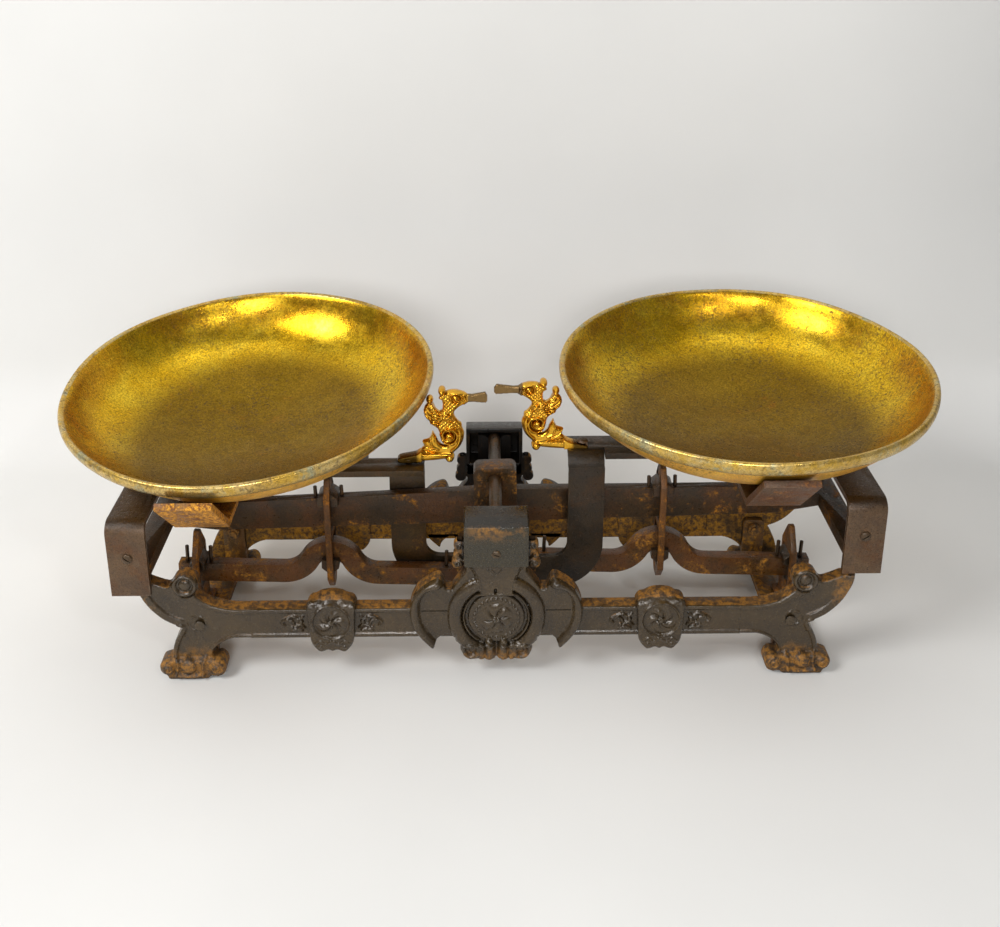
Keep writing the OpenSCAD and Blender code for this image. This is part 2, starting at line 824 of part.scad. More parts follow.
// Long bar under a pan, with the strap bent down at its inner end
module carrier_bar(side) {
    difference() {
        union() {
            block([bar_inner, -bar_w / 2, bar_low], [bar_outer, bar_w / 2, bar_top]);
            upright(strap_front, strap_front + strap_t) strap_outline();
        }
        for (off = [-slack, slack])
            bar_y(inner_x + off, inner_z, inner_pin_r + seat_gap, strap_front - 1, strap_front + strap_t + 1);
        block([inner_x - slack, strap_front - 1, inner_z - inner_pin_r - seat_gap],
              [inner_x + slack, strap_front + strap_t + 1, inner_z + inner_pin_r + seat_gap]);
        rivet_places(side) cylinder(r = rivet_r + fit, h = 60, center = true);
        translate([pointer_screw_x, 0, bar_low]) cylinder(r = screw_r + fit, h = 30, center = true);
    }
}
pointer_screw_x = bar_inner + 12;

// Distance of a side's cross bar from the middle
function cross_at(side) = cross_reach - side * cross_shift;

// Places of the rivets that hold bracket and cross bar to the long bar
module rivet_places(side) {
    for (x = [cross_at(side), beam_arm], y = [-rivet_off, rivet_off]) translate([x, y, bar_low]) children();
}

// Section of half of the cross bar in Y and Z, with a tab that rises over a run to its tip
function tab_half(reach, run, tip_z) =
    let (rise = [run, tip_z - bar_low], away = [rise[1], -rise[0]] * bar_t / norm(rise), low = bar_low - bar_t)
    [[reach + away[0] - (tip_z + away[1] - low) * rise[0] / rise[1], low],
     [reach + away[0], tip_z + away[1]], [reach, tip_z], [reach - run, bar_low]];

// Cross bar with its two tabs bent up round the pan
module cross_bar(side) {
    front_half = tab_half(front_tab, front_tab * 0.37, front_tip_z);
    rear_half = tab_half(rear_tab, rear_tab * 0.235, bowl_under(rear_tab) - seat_gap);
    near_half = side > 0 ? front_half : rear_half;
    far_half = side > 0 ? rear_half : front_half;
    difference() {
        sideways(cross_at(side) - tab_w / 2, cross_at(side) + tab_w / 2)
            polygon(concat(far_half, flipped(backwards(near_half))));
        rivet_places(side) cylinder(r = rivet_r + fit, h = 60, center = true);
    }
}

// Inverted U bracket over the beam's crossbar
module end_bracket(side) {
    leg_out = leg_y + bracket_t;
    difference() {
        sideways(beam_arm - bracket_w / 2, beam_arm + bracket_w / 2) difference() {
            union() {
                soft_area(-leg_out, bracket_low + 20, leg_out, bracket_top, fold_r);
                area(-leg_out, bracket_low, leg_out, bracket_top - fold_r);
            }
            soft_area(-leg_y, bracket_low + 20, leg_y, bracket_top - bracket_t, fold_r - bracket_t);
            area(-leg_y, bracket_low - 1, leg_y, bracket_top - fold_r);
        }
        for (end = [0, 1]) mirror([0, end, 0])
            bar_y(beam_arm, screw_z, screw_r + fit, -leg_out - 1, -leg_y + 1);
        rivet_places(side) cylinder(r = rivet_r + fit, h = 60, center = true);
    }
}
screw_z = end_edge + 5;

// Notched block in the bracket that rests on an end knife
module end_bearing() {
    difference() {
        block([beam_arm - bearing_w / 2, -leg_y, bearing_low],
              [beam_arm + bearing_w / 2, -leg_y + bearing_d, bearing_low + bearing_h]);
        upright(-leg_y - 1, -leg_y + bearing_d + 1) polygon([
            [beam_arm, bearing_notch], [beam_arm - 6, bearing_low - 0.1], [beam_arm + 6, bearing_low - 0.1]
        ]);
        bar_y(beam_arm, screw_z, screw_r + fit, -leg_y - 1, -leg_y + 9);
    }
}

module end_bearings() {
    for (end = [0, 1]) mirror([0, end, 0]) end_bearing();
}

module bracket_screws() {
    for (end = [0, 1]) mirror([0, end, 0])
        screw_y(beam_arm, -leg_y - bracket_t, screw_z, bracket_t + 8);
}

// Rivets flush with the long bar and domed below, and the pointer's screw
module carrier_rivets(side) {
    for (y = [-rivet_off, rivet_off]) {
        translate([cross_at(side), y, bar_low - bar_t]) {
            cylinder(r = rivet_r, h = 2 * bar_t);
            translate([0, 0, -2]) cylinder(r1 = rivet_r, r2 = rivet_r + 2, h = 2);
        }
        translate([beam_arm, y, bracket_top - bracket_t]) {
            cylinder(r = rivet_r, h = bracket_t + bar_t);
            translate([0, 0, -2]) cylinder(r1 = rivet_r, r2 = rivet_r + 2, h = 2);
        }
    }
    translate([pointer_screw_x, 0, bar_low - 2]) cylinder(r = screw_r, h = bar_t + 2 + 3.5);
    translate([pointer_screw_x, 0, bar_top + 3.5]) cylinder(r1 = screw_head, r2 = screw_head - 1.5, h = 2);
}

// Crested bird's head on a scroll, in X and Z, seen from the front on the right side
module pointer_outline() {
    z = rail_z;
    tip = rail_z + beak_rise;
    difference() {
        translate([37, z + 21]) circle(14.5);
        translate([43, z + 24]) circle(9.5);
        area(43, z + 20, 60, z + 40);
    }
    translate([36, z + 21]) circle(8);
    difference() {
        translate([44, z + 33]) circle(18);
        translate([49, z + 36]) circle(14);
        area(46, z + 10, 70, z + 60);
        area(20, z + 10, 50, z + 26);
    }
    translate([31.5, tip - 0.5]) circle(8);
    polygon([
        [27, tip + 4], [20, tip + 1.8], [tip_gap, tip + 3.8], [tip_gap, tip - 3.8], [20, tip - 2], [28, tip - 6]
    ]);
    polygon([
        [33, z + 32], [36, z + 42], [44, z + 48], [47.5, z + 53.5], [50, z + 49], [52, z + 41], [49, z + 33], [44, z + 27]
    ]);
    polygon([[40, z + 6], [43, z + 16], [48.5, z + 23], [50, z + 18], [55, z + 16], [54, z + 9], [58, z + 7], [56, z + 2]]);
    polygon([[34, z], [34, z + 4], [44, z + 10], [56, z + 7], [bar_inner + 5, z + 3.5], [bar_inner + 5, z]]);
}

// Whole pointer with its foot on the long bar
module pointer(side) {
    difference() {
        union() {
            translate([-side * pointer_shift, 0, 0]) {
                upright(-pointer_t / 2, pointer_t / 2) pointer_outline();
                translate([bar_inner - 23, 0, rail_z + 1]) sphere(4);
                translate([36.5, 0, rail_z + beak_rise + 8.5]) sphere(3.4);
                translate([48.2, 0, rail_z + beak_rise + 1.5]) sphere(2.3);
                bar_y(36, rail_z + 21, 6.5, -pointer_t / 2 - 1.5, pointer_t / 2 + 1.5);
                bar_y(31, rail_z + beak_rise, 3, -pointer_t / 2 - 1, pointer_t / 2 + 1);
            }
            block([bar_inner - 23 - side * pointer_shift, -6, rail_z], [bar_inner + 19, 6, rail_z + 3.5]);
        }
        translate([pointer_screw_x, 0, bar_low]) cylinder(r = screw_r + fit, h = 40, center = true);
        translate([pointer_screw_x, 0, rail_z + 3.5]) cylinder(r = screw_head + seat_gap, h = 10);
        block([bar_inner - 30, -10, rail_z - 10], [bar_outer, 10, rail_z]);
    }
}

module left_carrier_bar() {
    color("peru") placed() on_carrier(-1) carrier_bar(-1);
}

module left_cross_bar() {
    color("peru") placed() on_carrier(-1) cross_bar(-1);
}

module left_end_bracket() {
    color("dimgray") placed() on_carrier(-1) end_bracket(-1);
}

module left_end_bearings() {
    color("slategray") placed() on_carrier(-1) end_bearings();
}

module left_bracket_screws() {
    color("gray") placed() on_carrier(-1) bracket_screws();
}

module left_carrier_rivets() {
    color("gray") placed() on_carrier(-1) carrier_rivets(-1);
}

module left_pointer() {
    color("gold") placed() on_carrier(-1) pointer(-1);
}

module right_carrier_bar() {
    color("peru") placed() on_carrier(1) carrier_bar(1);
}

module right_cross_bar() {
    color("peru") placed() on_carrier(1) cross_bar(1);
}

module right_end_bracket() {
    color("dimgray") placed() on_carrier(1) end_bracket(1);
}

module right_end_bearings() {
    color("slategray") placed() on_carrier(1) end_bearings();
}

module right_bracket_screws() {
    color("gray") placed() on_carrier(1) bracket_screws();
}

module right_carrier_rivets() {
    color("gray") placed() on_carrier(1) carrier_rivets(1);
}

module right_pointer() {
    color("gold") placed() on_carrier(1) pointer(1);
}

// Points of the turned rim's oval section, in X and Z from the middle of the floor's curve
function rim_points() = [for (a = [0:30:330])
    let (u = rim_down + rim_h * cos(a), v = rim_out + rim_t * sin(a))
    [bowl_edge - u * cos(wall_slope) + v * sin(wall_slope), edge_z - u * sin(wall_slope) - v * cos(wall_slope)]];

// Points of the bowl's section from its middle to its edge, d inside its outer face
function bowl_points(d) = concat(
    [for (i = [0:6]) let (a = floor_a * i / 6) [(floor_r - d) * sin(a), -(floor_r - d) * cos(a)]],
    arc(side_x, side_z, side_r - d, floor_a - 90, wall_slope - 90, 9)
);

// Bowl with a turned rim, round the middle of its floor's curve
module bowl() {
    rotate_extrude($fn = 96) {
        polygon(concat(bowl_points(0), backwards(bowl_points(pan_t))));
        polygon(rim_points());
    }
}

// A pan at rest on its carrier, slid and leaning
module pan(side, lean_front, lean_side) {
    move = beam_move(side * beam_arm, end_edge);
    translate([side * pan_reach - pan_slip + move[0], 0, bowl_z + move[1]])
        rotate([lean_front, -lean_side, 0]) bowl();
}

module left_pan() {
    color("goldenrod") placed() pan(-1, left_lean_front, left_lean_side);
}

module right_pan() {
    color("goldenrod") placed() pan(1, right_lean_front, right_lean_side);
}

front_frame();
rear_frame();
left_cross_member();
right_cross_member();
frame_bolts();
left_fulcrum_post();
right_fulcrum_post();
centre_bearings();
centre_bearing_screws();
beam();
centre_knife();
end_knives();
link_knives();
beam_pins();
left_link();
right_link();
left_lever();
left_lever_knives();
left_lever_pins();
right_lever();
right_lever_knives();
right_lever_pins();
left_carrier_bar();
left_cross_bar();
left_end_bracket();
left_end_bearings();
left_bracket_screws();
left_carrier_rivets();
left_pointer();
right_carrier_bar();
right_cross_bar();
right_end_bracket();
right_end_bearings();
right_bracket_screws();
right_carrier_rivets();
right_pointer();
left_pan();
right_pan();
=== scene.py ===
"""Looks of a two-pan counter balance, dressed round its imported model."""

import json
import math

import bmesh
import bpy
import numpy as np
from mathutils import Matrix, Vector

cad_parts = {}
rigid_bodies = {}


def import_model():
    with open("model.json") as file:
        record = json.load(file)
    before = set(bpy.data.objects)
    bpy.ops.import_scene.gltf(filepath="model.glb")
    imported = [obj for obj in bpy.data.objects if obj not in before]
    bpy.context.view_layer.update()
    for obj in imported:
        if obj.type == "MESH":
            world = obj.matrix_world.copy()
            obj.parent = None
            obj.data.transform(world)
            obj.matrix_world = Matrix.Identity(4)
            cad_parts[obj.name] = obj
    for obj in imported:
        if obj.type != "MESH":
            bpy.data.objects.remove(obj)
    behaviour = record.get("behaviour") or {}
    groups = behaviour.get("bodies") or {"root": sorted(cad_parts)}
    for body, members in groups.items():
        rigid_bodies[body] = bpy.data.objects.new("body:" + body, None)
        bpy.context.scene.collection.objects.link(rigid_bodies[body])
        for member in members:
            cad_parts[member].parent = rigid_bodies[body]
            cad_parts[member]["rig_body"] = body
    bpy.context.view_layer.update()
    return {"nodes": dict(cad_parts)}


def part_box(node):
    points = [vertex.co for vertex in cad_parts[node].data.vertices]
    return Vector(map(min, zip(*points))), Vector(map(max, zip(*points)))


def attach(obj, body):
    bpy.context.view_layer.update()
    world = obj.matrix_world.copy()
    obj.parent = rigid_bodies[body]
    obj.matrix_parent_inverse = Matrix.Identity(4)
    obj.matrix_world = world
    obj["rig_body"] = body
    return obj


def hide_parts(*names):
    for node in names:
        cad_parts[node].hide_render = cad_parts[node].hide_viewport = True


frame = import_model()
MM = 0.001
MID_Y = (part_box("beam")[0].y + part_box("beam")[1].y) / 2


# Meshes from plain arrays, in millimetres round the beam's middle plane


def mesh_of(name, points, faces, material=None):
    """A mesh object from points in mm and triangles or quads."""
    points = np.asarray(points, float)
    faces = np.asarray(faces, np.int32)
    mesh = bpy.data.meshes.new(name)
    mesh.vertices.add(len(points))
    place = points * MM + np.array([0, MID_Y, 0])
    mesh.vertices.foreach_set("co", place.astype(np.float32).ravel())
    corners = faces.shape[1]
    mesh.loops.add(faces.size)
    mesh.polygons.add(len(faces))
    mesh.loops.foreach_set("vertex_index", faces.ravel())
    mesh.polygons.foreach_set("loop_start", np.arange(0, faces.size, corners, dtype=np.int32))
    mesh.update(calc_edges=True)
    mesh.validate()
    piece = bpy.data.objects.new(name, mesh)
    bpy.context.scene.collection.objects.link(piece)
    if material:
        mesh.materials.append(material)
    return piece


def smooth_over(piece, angle=38):
    """Smooth shading with the sharper edges kept."""
    piece.data.shade_smooth()
    piece.data.set_sharp_from_angle(angle=math.radians(angle))
    return piece


def joined(parts):
    """Points and faces of several castings as one."""
    points, faces, start = [], [], 0
    for p, f in parts:
        points.append(p)
        faces.append(f + start)
        start += len(p)
    return np.concatenate(points), np.concatenate(faces)


def mirrored(part):
    points, faces = part
    return points * [-1, 1, 1], faces[:, ::-1]


def turned(part):
    points, faces = part
    return points * [-1, -1, 1], faces


def curve(points, steps=6, closed=False):
    """Smooth line through points."""
    p = np.asarray(points, float)
    n = len(p)
    if closed:
        q = np.concatenate([p[-1:], p, p[:2]])
    else:
        q = np.concatenate([2 * p[:1] - p[1:2], p, 2 * p[-1:] - p[-2:-1]])
    out = []
    for i in range(n if closed else n - 1):
        a, b, c, d = q[i : i + 4]
        for k in range(steps):
            t = k / steps
            out.append(0.5 * (2 * b + (c - a) * t + (2 * a - 5 * b + 4 * c - d) * t**2 + (3 * b - a - 3 * c + d) * t**3))
    if not closed:
        out.append(p[-1])
    return np.array(out)


def spiral(x, z, r0, r1, start, end, steps=40):
    """Points of a volute from radius r0 to r1, angles in degrees."""
    k = np.linspace(0, 1, steps)
    a = np.radians(start + (end - start) * k)
    r = r0 + (r1 - r0) * k
    return np.stack([x + r * np.cos(a), z + r * np.sin(a)], 1)


def away_from(x, z, path):
    """Distance of each place from a line."""
    best = np.full(x.shape, 1e9)
    for (ax, az), (bx, bz) in zip(path[:-1], path[1:]):
        ux, uz = bx - ax, bz - az
        length = ux * ux + uz * uz
        if length < 1e-12:
            continue
        t = np.clip(((x - ax) * ux + (z - az) * uz) / length, 0, 1)
        best = np.minimum(best, (x - ax - t * ux) ** 2 + (z - az - t * uz) ** 2)
    return np.sqrt(best)


def shape(points):
    """Signed distance of a closed outline, negative inside."""
    p = np.asarray(points, float)
    ring = np.concatenate([p, p[:1]])

    def distance(x, z):
        inside = np.zeros(x.shape, bool)
        for (ax, az), (bx, bz) in zip(ring[:-1], ring[1:]):
            if az == bz:
                continue
            crosses = (az > z) != (bz > z)
            inside ^= crosses & (x < (bx - ax) * (z - az) / (bz - az) + ax)
        d = away_from(x, z, ring)
        return np.where(inside, -d, d)

    return distance


def disc(cx, cz, r):
    return lambda x, z: np.hypot(x - cx, z - cz) - r


def all_of(*shapes):
    return lambda x, z: np.minimum.reduce([s(x, z) for s in shapes])


def without(body, hole):
    return lambda x, z: np.maximum(body(x, z), -hole(x, z))


def ridge(x, z, path, width, height):
    """Rounded raised line along a path."""
    path = np.asarray(path, float)
    low, high = path.min(0) - width, path.max(0) + width
    near = (x > low[0]) & (x < high[0]) & (z > low[1]) & (z < high[1])
    out = np.zeros(x.shape)
    if near.any():
        d = away_from(x[near], z[near], path) / width
        out[near] = height * np.clip(1 - d * d, 0, 1)
    return out


def dome(x, z, cx, cz, r, height):
    k = np.clip(1 - ((x - cx) ** 2 + (z - cz) ** 2) / (r * r), 0, 1)
    return height * np.sqrt(k)


def step_up(value, edge, soft):
    """Soft step from 0 to 1 where value passes edge."""
    k = np.clip((value - edge) / soft + 0.5, 0, 1)
    return k * k * (3 - 2 * k)


def eased(depth, r):
    """How much a rounded border of radius r falls away at a depth inside the outline."""
    k = np.clip(depth / r, 0, 1)
    return r * (1 - np.sqrt(1 - (1 - k) ** 2))


def casting(outline, box, step, front, back):
    """Closed relief: the outline in X and Z, with a front face and a back face given as distances in front of the middle plane."""
    x0, x1, z0, z1 = box
    xs = np.arange(x0, x1 + step, step)
    zs = np.arange(z0, z1 + step, step)
    x, z = np.meshgrid(xs, zs, indexing="ij")
    d = outline(x, z)
    gx = (outline(x + 0.01, z) - d) / 0.01
    gz = (outline(x, z + 0.01) - d) / 0.01
    close = np.abs(d) < 0.3 * step
    x = np.where(close, x - d * gx, x)
    z = np.where(close, z - d * gz, z)
    d = np.where(close, -1e-6, d)
    index = np.arange(x.size).reshape(x.shape)
    a, b, c, e = index[:-1, :-1], index[1:, :-1], index[1:, 1:], index[:-1, 1:]
    odd = (np.add.outer(np.arange(a.shape[0]), np.arange(a.shape[1])) % 2).astype(bool)
    one = np.concatenate([
        np.stack([a[odd], b[odd], c[odd]], 1), np.stack([a[odd], c[odd], e[odd]], 1),
        np.stack([a[~odd], b[~odd], e[~odd]], 1), np.stack([b[~odd], c[~odd], e[~odd]], 1),
    ])
    x, z, d = x.ravel(), z.ravel(), d.ravel()
    inside = d < 0
    count = inside[one].sum(1)
    full = one[count == 3]

    def led_by(tris, flag):
        where = np.argmax(inside[tris] == flag, 1)
        rows = np.arange(len(tris))
        return tris[rows, where], tris[rows, (where + 1) % 3], tris[rows, (where + 2) % 3]

    p1, q1, r1 = led_by(one[count == 1], True)
    p2, q2, r2 = led_by(one[count == 2], False)
    pairs = np.concatenate([np.stack([p1, q1], 1), np.stack([p1, r1], 1), np.stack([p2, q2], 1), np.stack([p2, r2], 1)])
    low, high = pairs.min(1), pairs.max(1)
    keys, back_to = np.unique(low.astype(np.int64) * x.size + high, return_inverse=True)
    i, j = keys // x.size, keys % x.size
    t = d[i] / (d[i] - d[j])
    x = np.concatenate([x, x[i] + t * (x[j] - x[i])])
    z = np.concatenate([z, z[i] + t * (z[j] - z[i])])
    d = np.concatenate([d, np.zeros(len(keys))])
    cut = back_to.ravel() + len(inside)
    n1, n2 = len(p1), len(p2)
    pq1, pr1 = cut[:n1], cut[n1 : 2 * n1]
    pq2, pr2 = cut[2 * n1 : 2 * n1 + n2], cut[2 * n1 + n2 :]
    faces = np.concatenate([full, np.stack([p1, pq1, pr1], 1), np.stack([pq2, q2, r2], 1), np.stack([pq2, r2, pr2], 1)])
    s = np.concatenate([pq1, pr2])
    e = np.concatenate([pr1, pq2])
    used = np.unique(faces)
    number = np.full(len(x), -1)
    number[used] = np.arange(len(used))
    x, z, depth = x[used], z[used], np.maximum(-d[used], 0)
    faces, s, e = number[faces], number[s], number[e]
    n = len(used)
    edge_depth = depth
    y_front = -front(x, z, edge_depth)
    y_back = -back(x, z, edge_depth)
    points = np.concatenate([np.stack([x, y_front, z], 1), np.stack([x, y_back, z], 1)])
    walls = np.concatenate([np.stack([e, s, s + n], 1), np.stack([e, s + n, e + n], 1)])
    return points, np.concatenate([faces, faces[:, ::-1] + n, walls])


# Node trees


def tone(code):
    """Colour from a hex code, as the eye sees it."""
    parts = [int(code[i : i + 2], 16) / 255 for i in (0, 2, 4)]
    return [c / 12.92 if c <= 0.04045 else ((c + 0.055) / 1.055) ** 2.4 for c in parts] + [1]


def add(tree, kind, values=None, **settings):
    """One node with its settings; a value may be a number, a colour or another node's output."""
    node = tree.nodes.new(kind)
    for key, value in settings.items():
        setattr(node, key, value)
    for key, value in (values or {}).items():
        socket = node.inputs[key]
        if isinstance(value, bpy.types.NodeSocket):
            tree.links.new(value, socket)
        else:
            socket.default_value = value
    return node


def sums(tree, operation, a, b=0.0, clamp=False):
    return add(tree, "ShaderNodeMath", {0: a, 1: b}, operation=operation, use_clamp=clamp).outputs[0]


def between(tree, value, low, high, to_low=0.0, to_high=1.0):
    """Value mapped softly from one range to another."""
    node = add(tree, "ShaderNodeMapRange", {"Value": value, "From Min": low, "From Max": high, "To Min": to_low, "To Max": to_high},
               interpolation_type="SMOOTHSTEP")
    return node.outputs["Result"]


def blend_of(tree, share, a, b, way="MIX"):
    node = add(tree, "ShaderNodeMix", {"Factor": share, "A": a, "B": b} if False else None, data_type="RGBA", blend_type=way)
    for key, value in ((0, share), (6, a), (7, b)):
        if isinstance(value, bpy.types.NodeSocket):
            tree.links.new(value, node.inputs[key])
        else:
            node.inputs[key].default_value = value
    return node.outputs[2]


def group_of(name, inputs, outputs):
    """Empty node group with its sockets."""
    tree = bpy.data.node_groups.new(name, "ShaderNodeTree")
    for label, kind, value in inputs:
        socket = tree.interface.new_socket(name=label, in_out="INPUT", socket_type=kind)
        if value is not None:
            socket.default_value = value
    for label, kind in outputs:
        tree.interface.new_socket(name=label, in_out="OUTPUT", socket_type=kind)
    return tree, tree.nodes.new("NodeGroupInput").outputs, tree.nodes.new("NodeGroupOutput").inputs


def build_patches():
    """Cloudy patches with torn borders, such as rust that breaks through."""
    tree, given, out = group_of(
        "torn patches",
        [("Vector", "NodeSocketVector", None), ("Scale", "NodeSocketFloat", 30.0), ("Amount", "NodeSocketFloat", 0.5), ("Softness", "NodeSocketFloat", 0.06)],
        [("Mask", "NodeSocketFloat"), ("Tone", "NodeSocketFloat")],
    )
    big = add(tree, "ShaderNodeTexNoise", {"Vector": given["Vector"], "Scale": given["Scale"], "Detail": 6.0, "Roughness": 0.62, "Distortion": 0.6})
    fine = add(tree, "ShaderNodeTexNoise", {"Vector": given["Vector"], "Scale": sums(tree, "MULTIPLY", given["Scale"], 7.3), "Detail": 4.0, "Roughness": 0.7})
    both = sums(tree, "ADD", sums(tree, "MULTIPLY", big.outputs["Fac"], 0.72), sums(tree, "MULTIPLY", fine.outputs["Fac"], 0.28))
    edge = sums(tree, "SUBTRACT", 0.74, sums(tree, "MULTIPLY", given["Amount"], 0.48))
    tree.links.new(between(tree, both, sums(tree, "SUBTRACT", edge, given["Softness"]), sums(tree, "ADD", edge, given["Softness"])), out["Mask"])
    tree.links.new(fine.outputs["Fac"], out["Tone"])
    return tree


def build_grain():
    """Sand-cast or forged skin: fine pits on soft waves."""
    tree, given, out = group_of(
        "cast grain",
        [("Vector", "NodeSocketVector", None), ("Scale", "NodeSocketFloat", 400.0), ("Pits", "NodeSocketFloat", 0.5)],
        [("Height", "NodeSocketFloat"), ("Tone", "NodeSocketFloat")],
    )
    fine = add(tree, "ShaderNodeTexNoise", {"Vector": given["Vector"], "Scale": given["Scale"], "Detail": 5.0, "Roughness": 0.65})
    wide = add(tree, "ShaderNodeTexNoise", {"Vector": given["Vector"], "Scale": sums(tree, "MULTIPLY", given["Scale"], 0.12), "Detail": 3.0})
    pits = add(tree, "ShaderNodeTexVoronoi", {"Vector": given["Vector"], "Scale": sums(tree, "MULTIPLY", given["Scale"], 0.55)})
    hole = between(tree, pits.outputs["Distance"], 0.05, 0.32)
    height = sums(tree, "ADD", sums(tree, "MULTIPLY", fine.outputs["Fac"], 0.5), sums(tree, "MULTIPLY", wide.outputs["Fac"], 0.9))
    height = sums(tree, "ADD", height, sums(tree, "MULTIPLY", sums(tree, "MULTIPLY", hole, given["Pits"]), 0.45))
    tree.links.new(height, out["Height"])
    tree.links.new(fine.outputs["Fac"], out["Tone"])
    return tree


def build_wear_and_shade():
    """Rubbed edges, and dirt in corners together with painted shade: an occlusion mask darkens corners and recesses
    where shade falls.
    """
    tree, given, out = group_of(
        "worn edges, dirt and painted shade",
        [("Vector", "NodeSocketVector", None), ("Width", "NodeSocketFloat", 0.0012), ("Reach", "NodeSocketFloat", 0.008)],
        [("Edge", "NodeSocketFloat"), ("Dirt and Shade", "NodeSocketFloat")],
    )
    round_normal = add(tree, "ShaderNodeBevel", {"Radius": given["Width"]}, samples=4)
    geometry = add(tree, "ShaderNodeNewGeometry")
    turn = add(tree, "ShaderNodeVectorMath", {0: round_normal.outputs[0], 1: geometry.outputs["Normal"]}, operation="DOT_PRODUCT")
    broken = add(tree, "ShaderNodeTexNoise", {"Vector": given["Vector"], "Scale": 160.0, "Detail": 4.0})
    edge = between(tree, turn.outputs["Value"], 0.985, 0.86)
    tree.links.new(sums(tree, "MULTIPLY", edge, between(tree, broken.outputs["Fac"], 0.36, 0.6)), out["Edge"])
    # occlusion mask: dirt together with painted shade in corners and recesses
    corner = add(tree, "ShaderNodeAmbientOcclusion", {"Distance": given["Reach"]}, samples=4)
    tree.links.new(between(tree, corner.outputs["AO"], 0.85, 0.25), out["Dirt and Shade"])
    return tree


PATCHES, GRAIN, WEAR_AND_SHADE = build_patches(), build_grain(), build_wear_and_shade()


def use(tree, group, values):
    node = tree.nodes.new("ShaderNodeGroup")
    node.node_tree = group
    for key, value in values.items():
        if isinstance(value, bpy.types.NodeSocket):
            tree.links.new(value, node.inputs[key])
        else:
            node.inputs[key].default_value = value
    return node.outputs


def new_material(name):
    material = bpy.data.materials.new(name)
    material.use_nodes = True
    tree = material.node_tree
    surface = next(n for n in tree.nodes if n.type == "BSDF_PRINCIPLED")
    place = add(tree, "ShaderNodeTexCoord").outputs["Object"]
    return material, tree, surface, place


def up_facing(tree, low=0.35, high=0.8):
    """Mask of the faces that look up."""
    normal = add(tree, "ShaderNodeNewGeometry").outputs["Normal"]
    z = add(tree, "ShaderNodeSeparateXYZ", {0: normal}).outputs["Z"]
    return between(tree, z, low, high)


def old_iron(name, dark, light, rust, ochre, rusted=0.5, ochred=0.35, rough=(0.42, 0.8), metal=0.35, scale=26.0, bump=0.5, seed=0.0, extra=None, edge_colour="6a5a48", edge_share=0.5, specular=0.5):
    """Painted or bare old iron: two tones, brown rust, ochre bloom, worn edges, and dirt in corners together with
    painted shade that darkens them.
    """
    material, tree, surface, place = new_material(name)
    place = add(tree, "ShaderNodeMapping", {"Vector": place, "Location": (seed, seed * 0.37, seed * 0.71)}).outputs[0]
    tones = use(tree, PATCHES, {"Vector": place, "Scale": scale * 1.6, "Amount": 0.5, "Softness": 0.2})
    brown = use(tree, PATCHES, {"Vector": place, "Scale": scale, "Amount": rusted, "Softness": 0.09})
    bloom_place = add(tree, "ShaderNodeMapping", {"Vector": place, "Location": (3.1, 7.7, 1.9)}).outputs[0]
    bloom = use(tree, PATCHES, {"Vector": bloom_place, "Scale": scale * 1.35, "Amount": ochred, "Softness": 0.07})
    grain = use(tree, GRAIN, {"Vector": place, "Scale": 900.0, "Pits": 0.6})
    wear_and_shade = use(tree, WEAR_AND_SHADE, {"Vector": place, "Width": 0.0012, "Reach": 0.018})
    colour = blend_of(tree, tones["Mask"], tone(dark), tone(light))
    colour = blend_of(tree, sums(tree, "MULTIPLY", wear_and_shade["Edge"], edge_share), colour, tone(edge_colour))
    colour = blend_of(tree, brown["Mask"], colour, tone(rust))
    ochre_share = bloom["Mask"]
    if extra:
        colour, ochre_share = extra(tree, place, colour, ochre_share)
    deep = blend_of(tree, between(tree, tones["Tone"], 0.38, 0.6), tone(rust), tone(ochre))
    colour = blend_of(tree, ochre_share, colour, deep)
    speck = between(tree, grain["Tone"], 0.32, 0.68, 0.68, 1.32)
    colour = blend_of(tree, 1.0, colour, add(tree, "ShaderNodeCombineColor", {0: speck, 1: speck, 2: speck}).outputs[0], "MULTIPLY")
    # dirt and painted shade: corners and recesses darkened toward near-black
    colour = blend_of(tree, sums(tree, "MULTIPLY", wear_and_shade["Dirt and Shade"], 0.85), colour, tone("0e0a06"))
    tree.links.new(colour, surface.inputs["Base Color"])
    roughness = blend_of(tree, ochre_share, [rough[0]] * 3 + [1], [rough[1]] * 3 + [1])
    spread = between(tree, tones["Tone"], 0.3, 0.7, -0.1, 0.12)
    tree.links.new(sums(tree, "ADD", sums(tree, "MULTIPLY", roughness, 1.0), spread, True), surface.inputs["Roughness"])
    surface.inputs["Metallic"].default_value = metal
    surface.inputs["Specular IOR Level"].default_value = specular
    height = sums(tree, "ADD", grain["Height"], sums(tree, "MULTIPLY", ochre_share, 0.35))
    tree.links.new(add(tree, "ShaderNodeBump", {"Height": height, "Strength": bump, "Distance": 0.0007}).outputs[0], surface.inputs["Normal"])
    return material


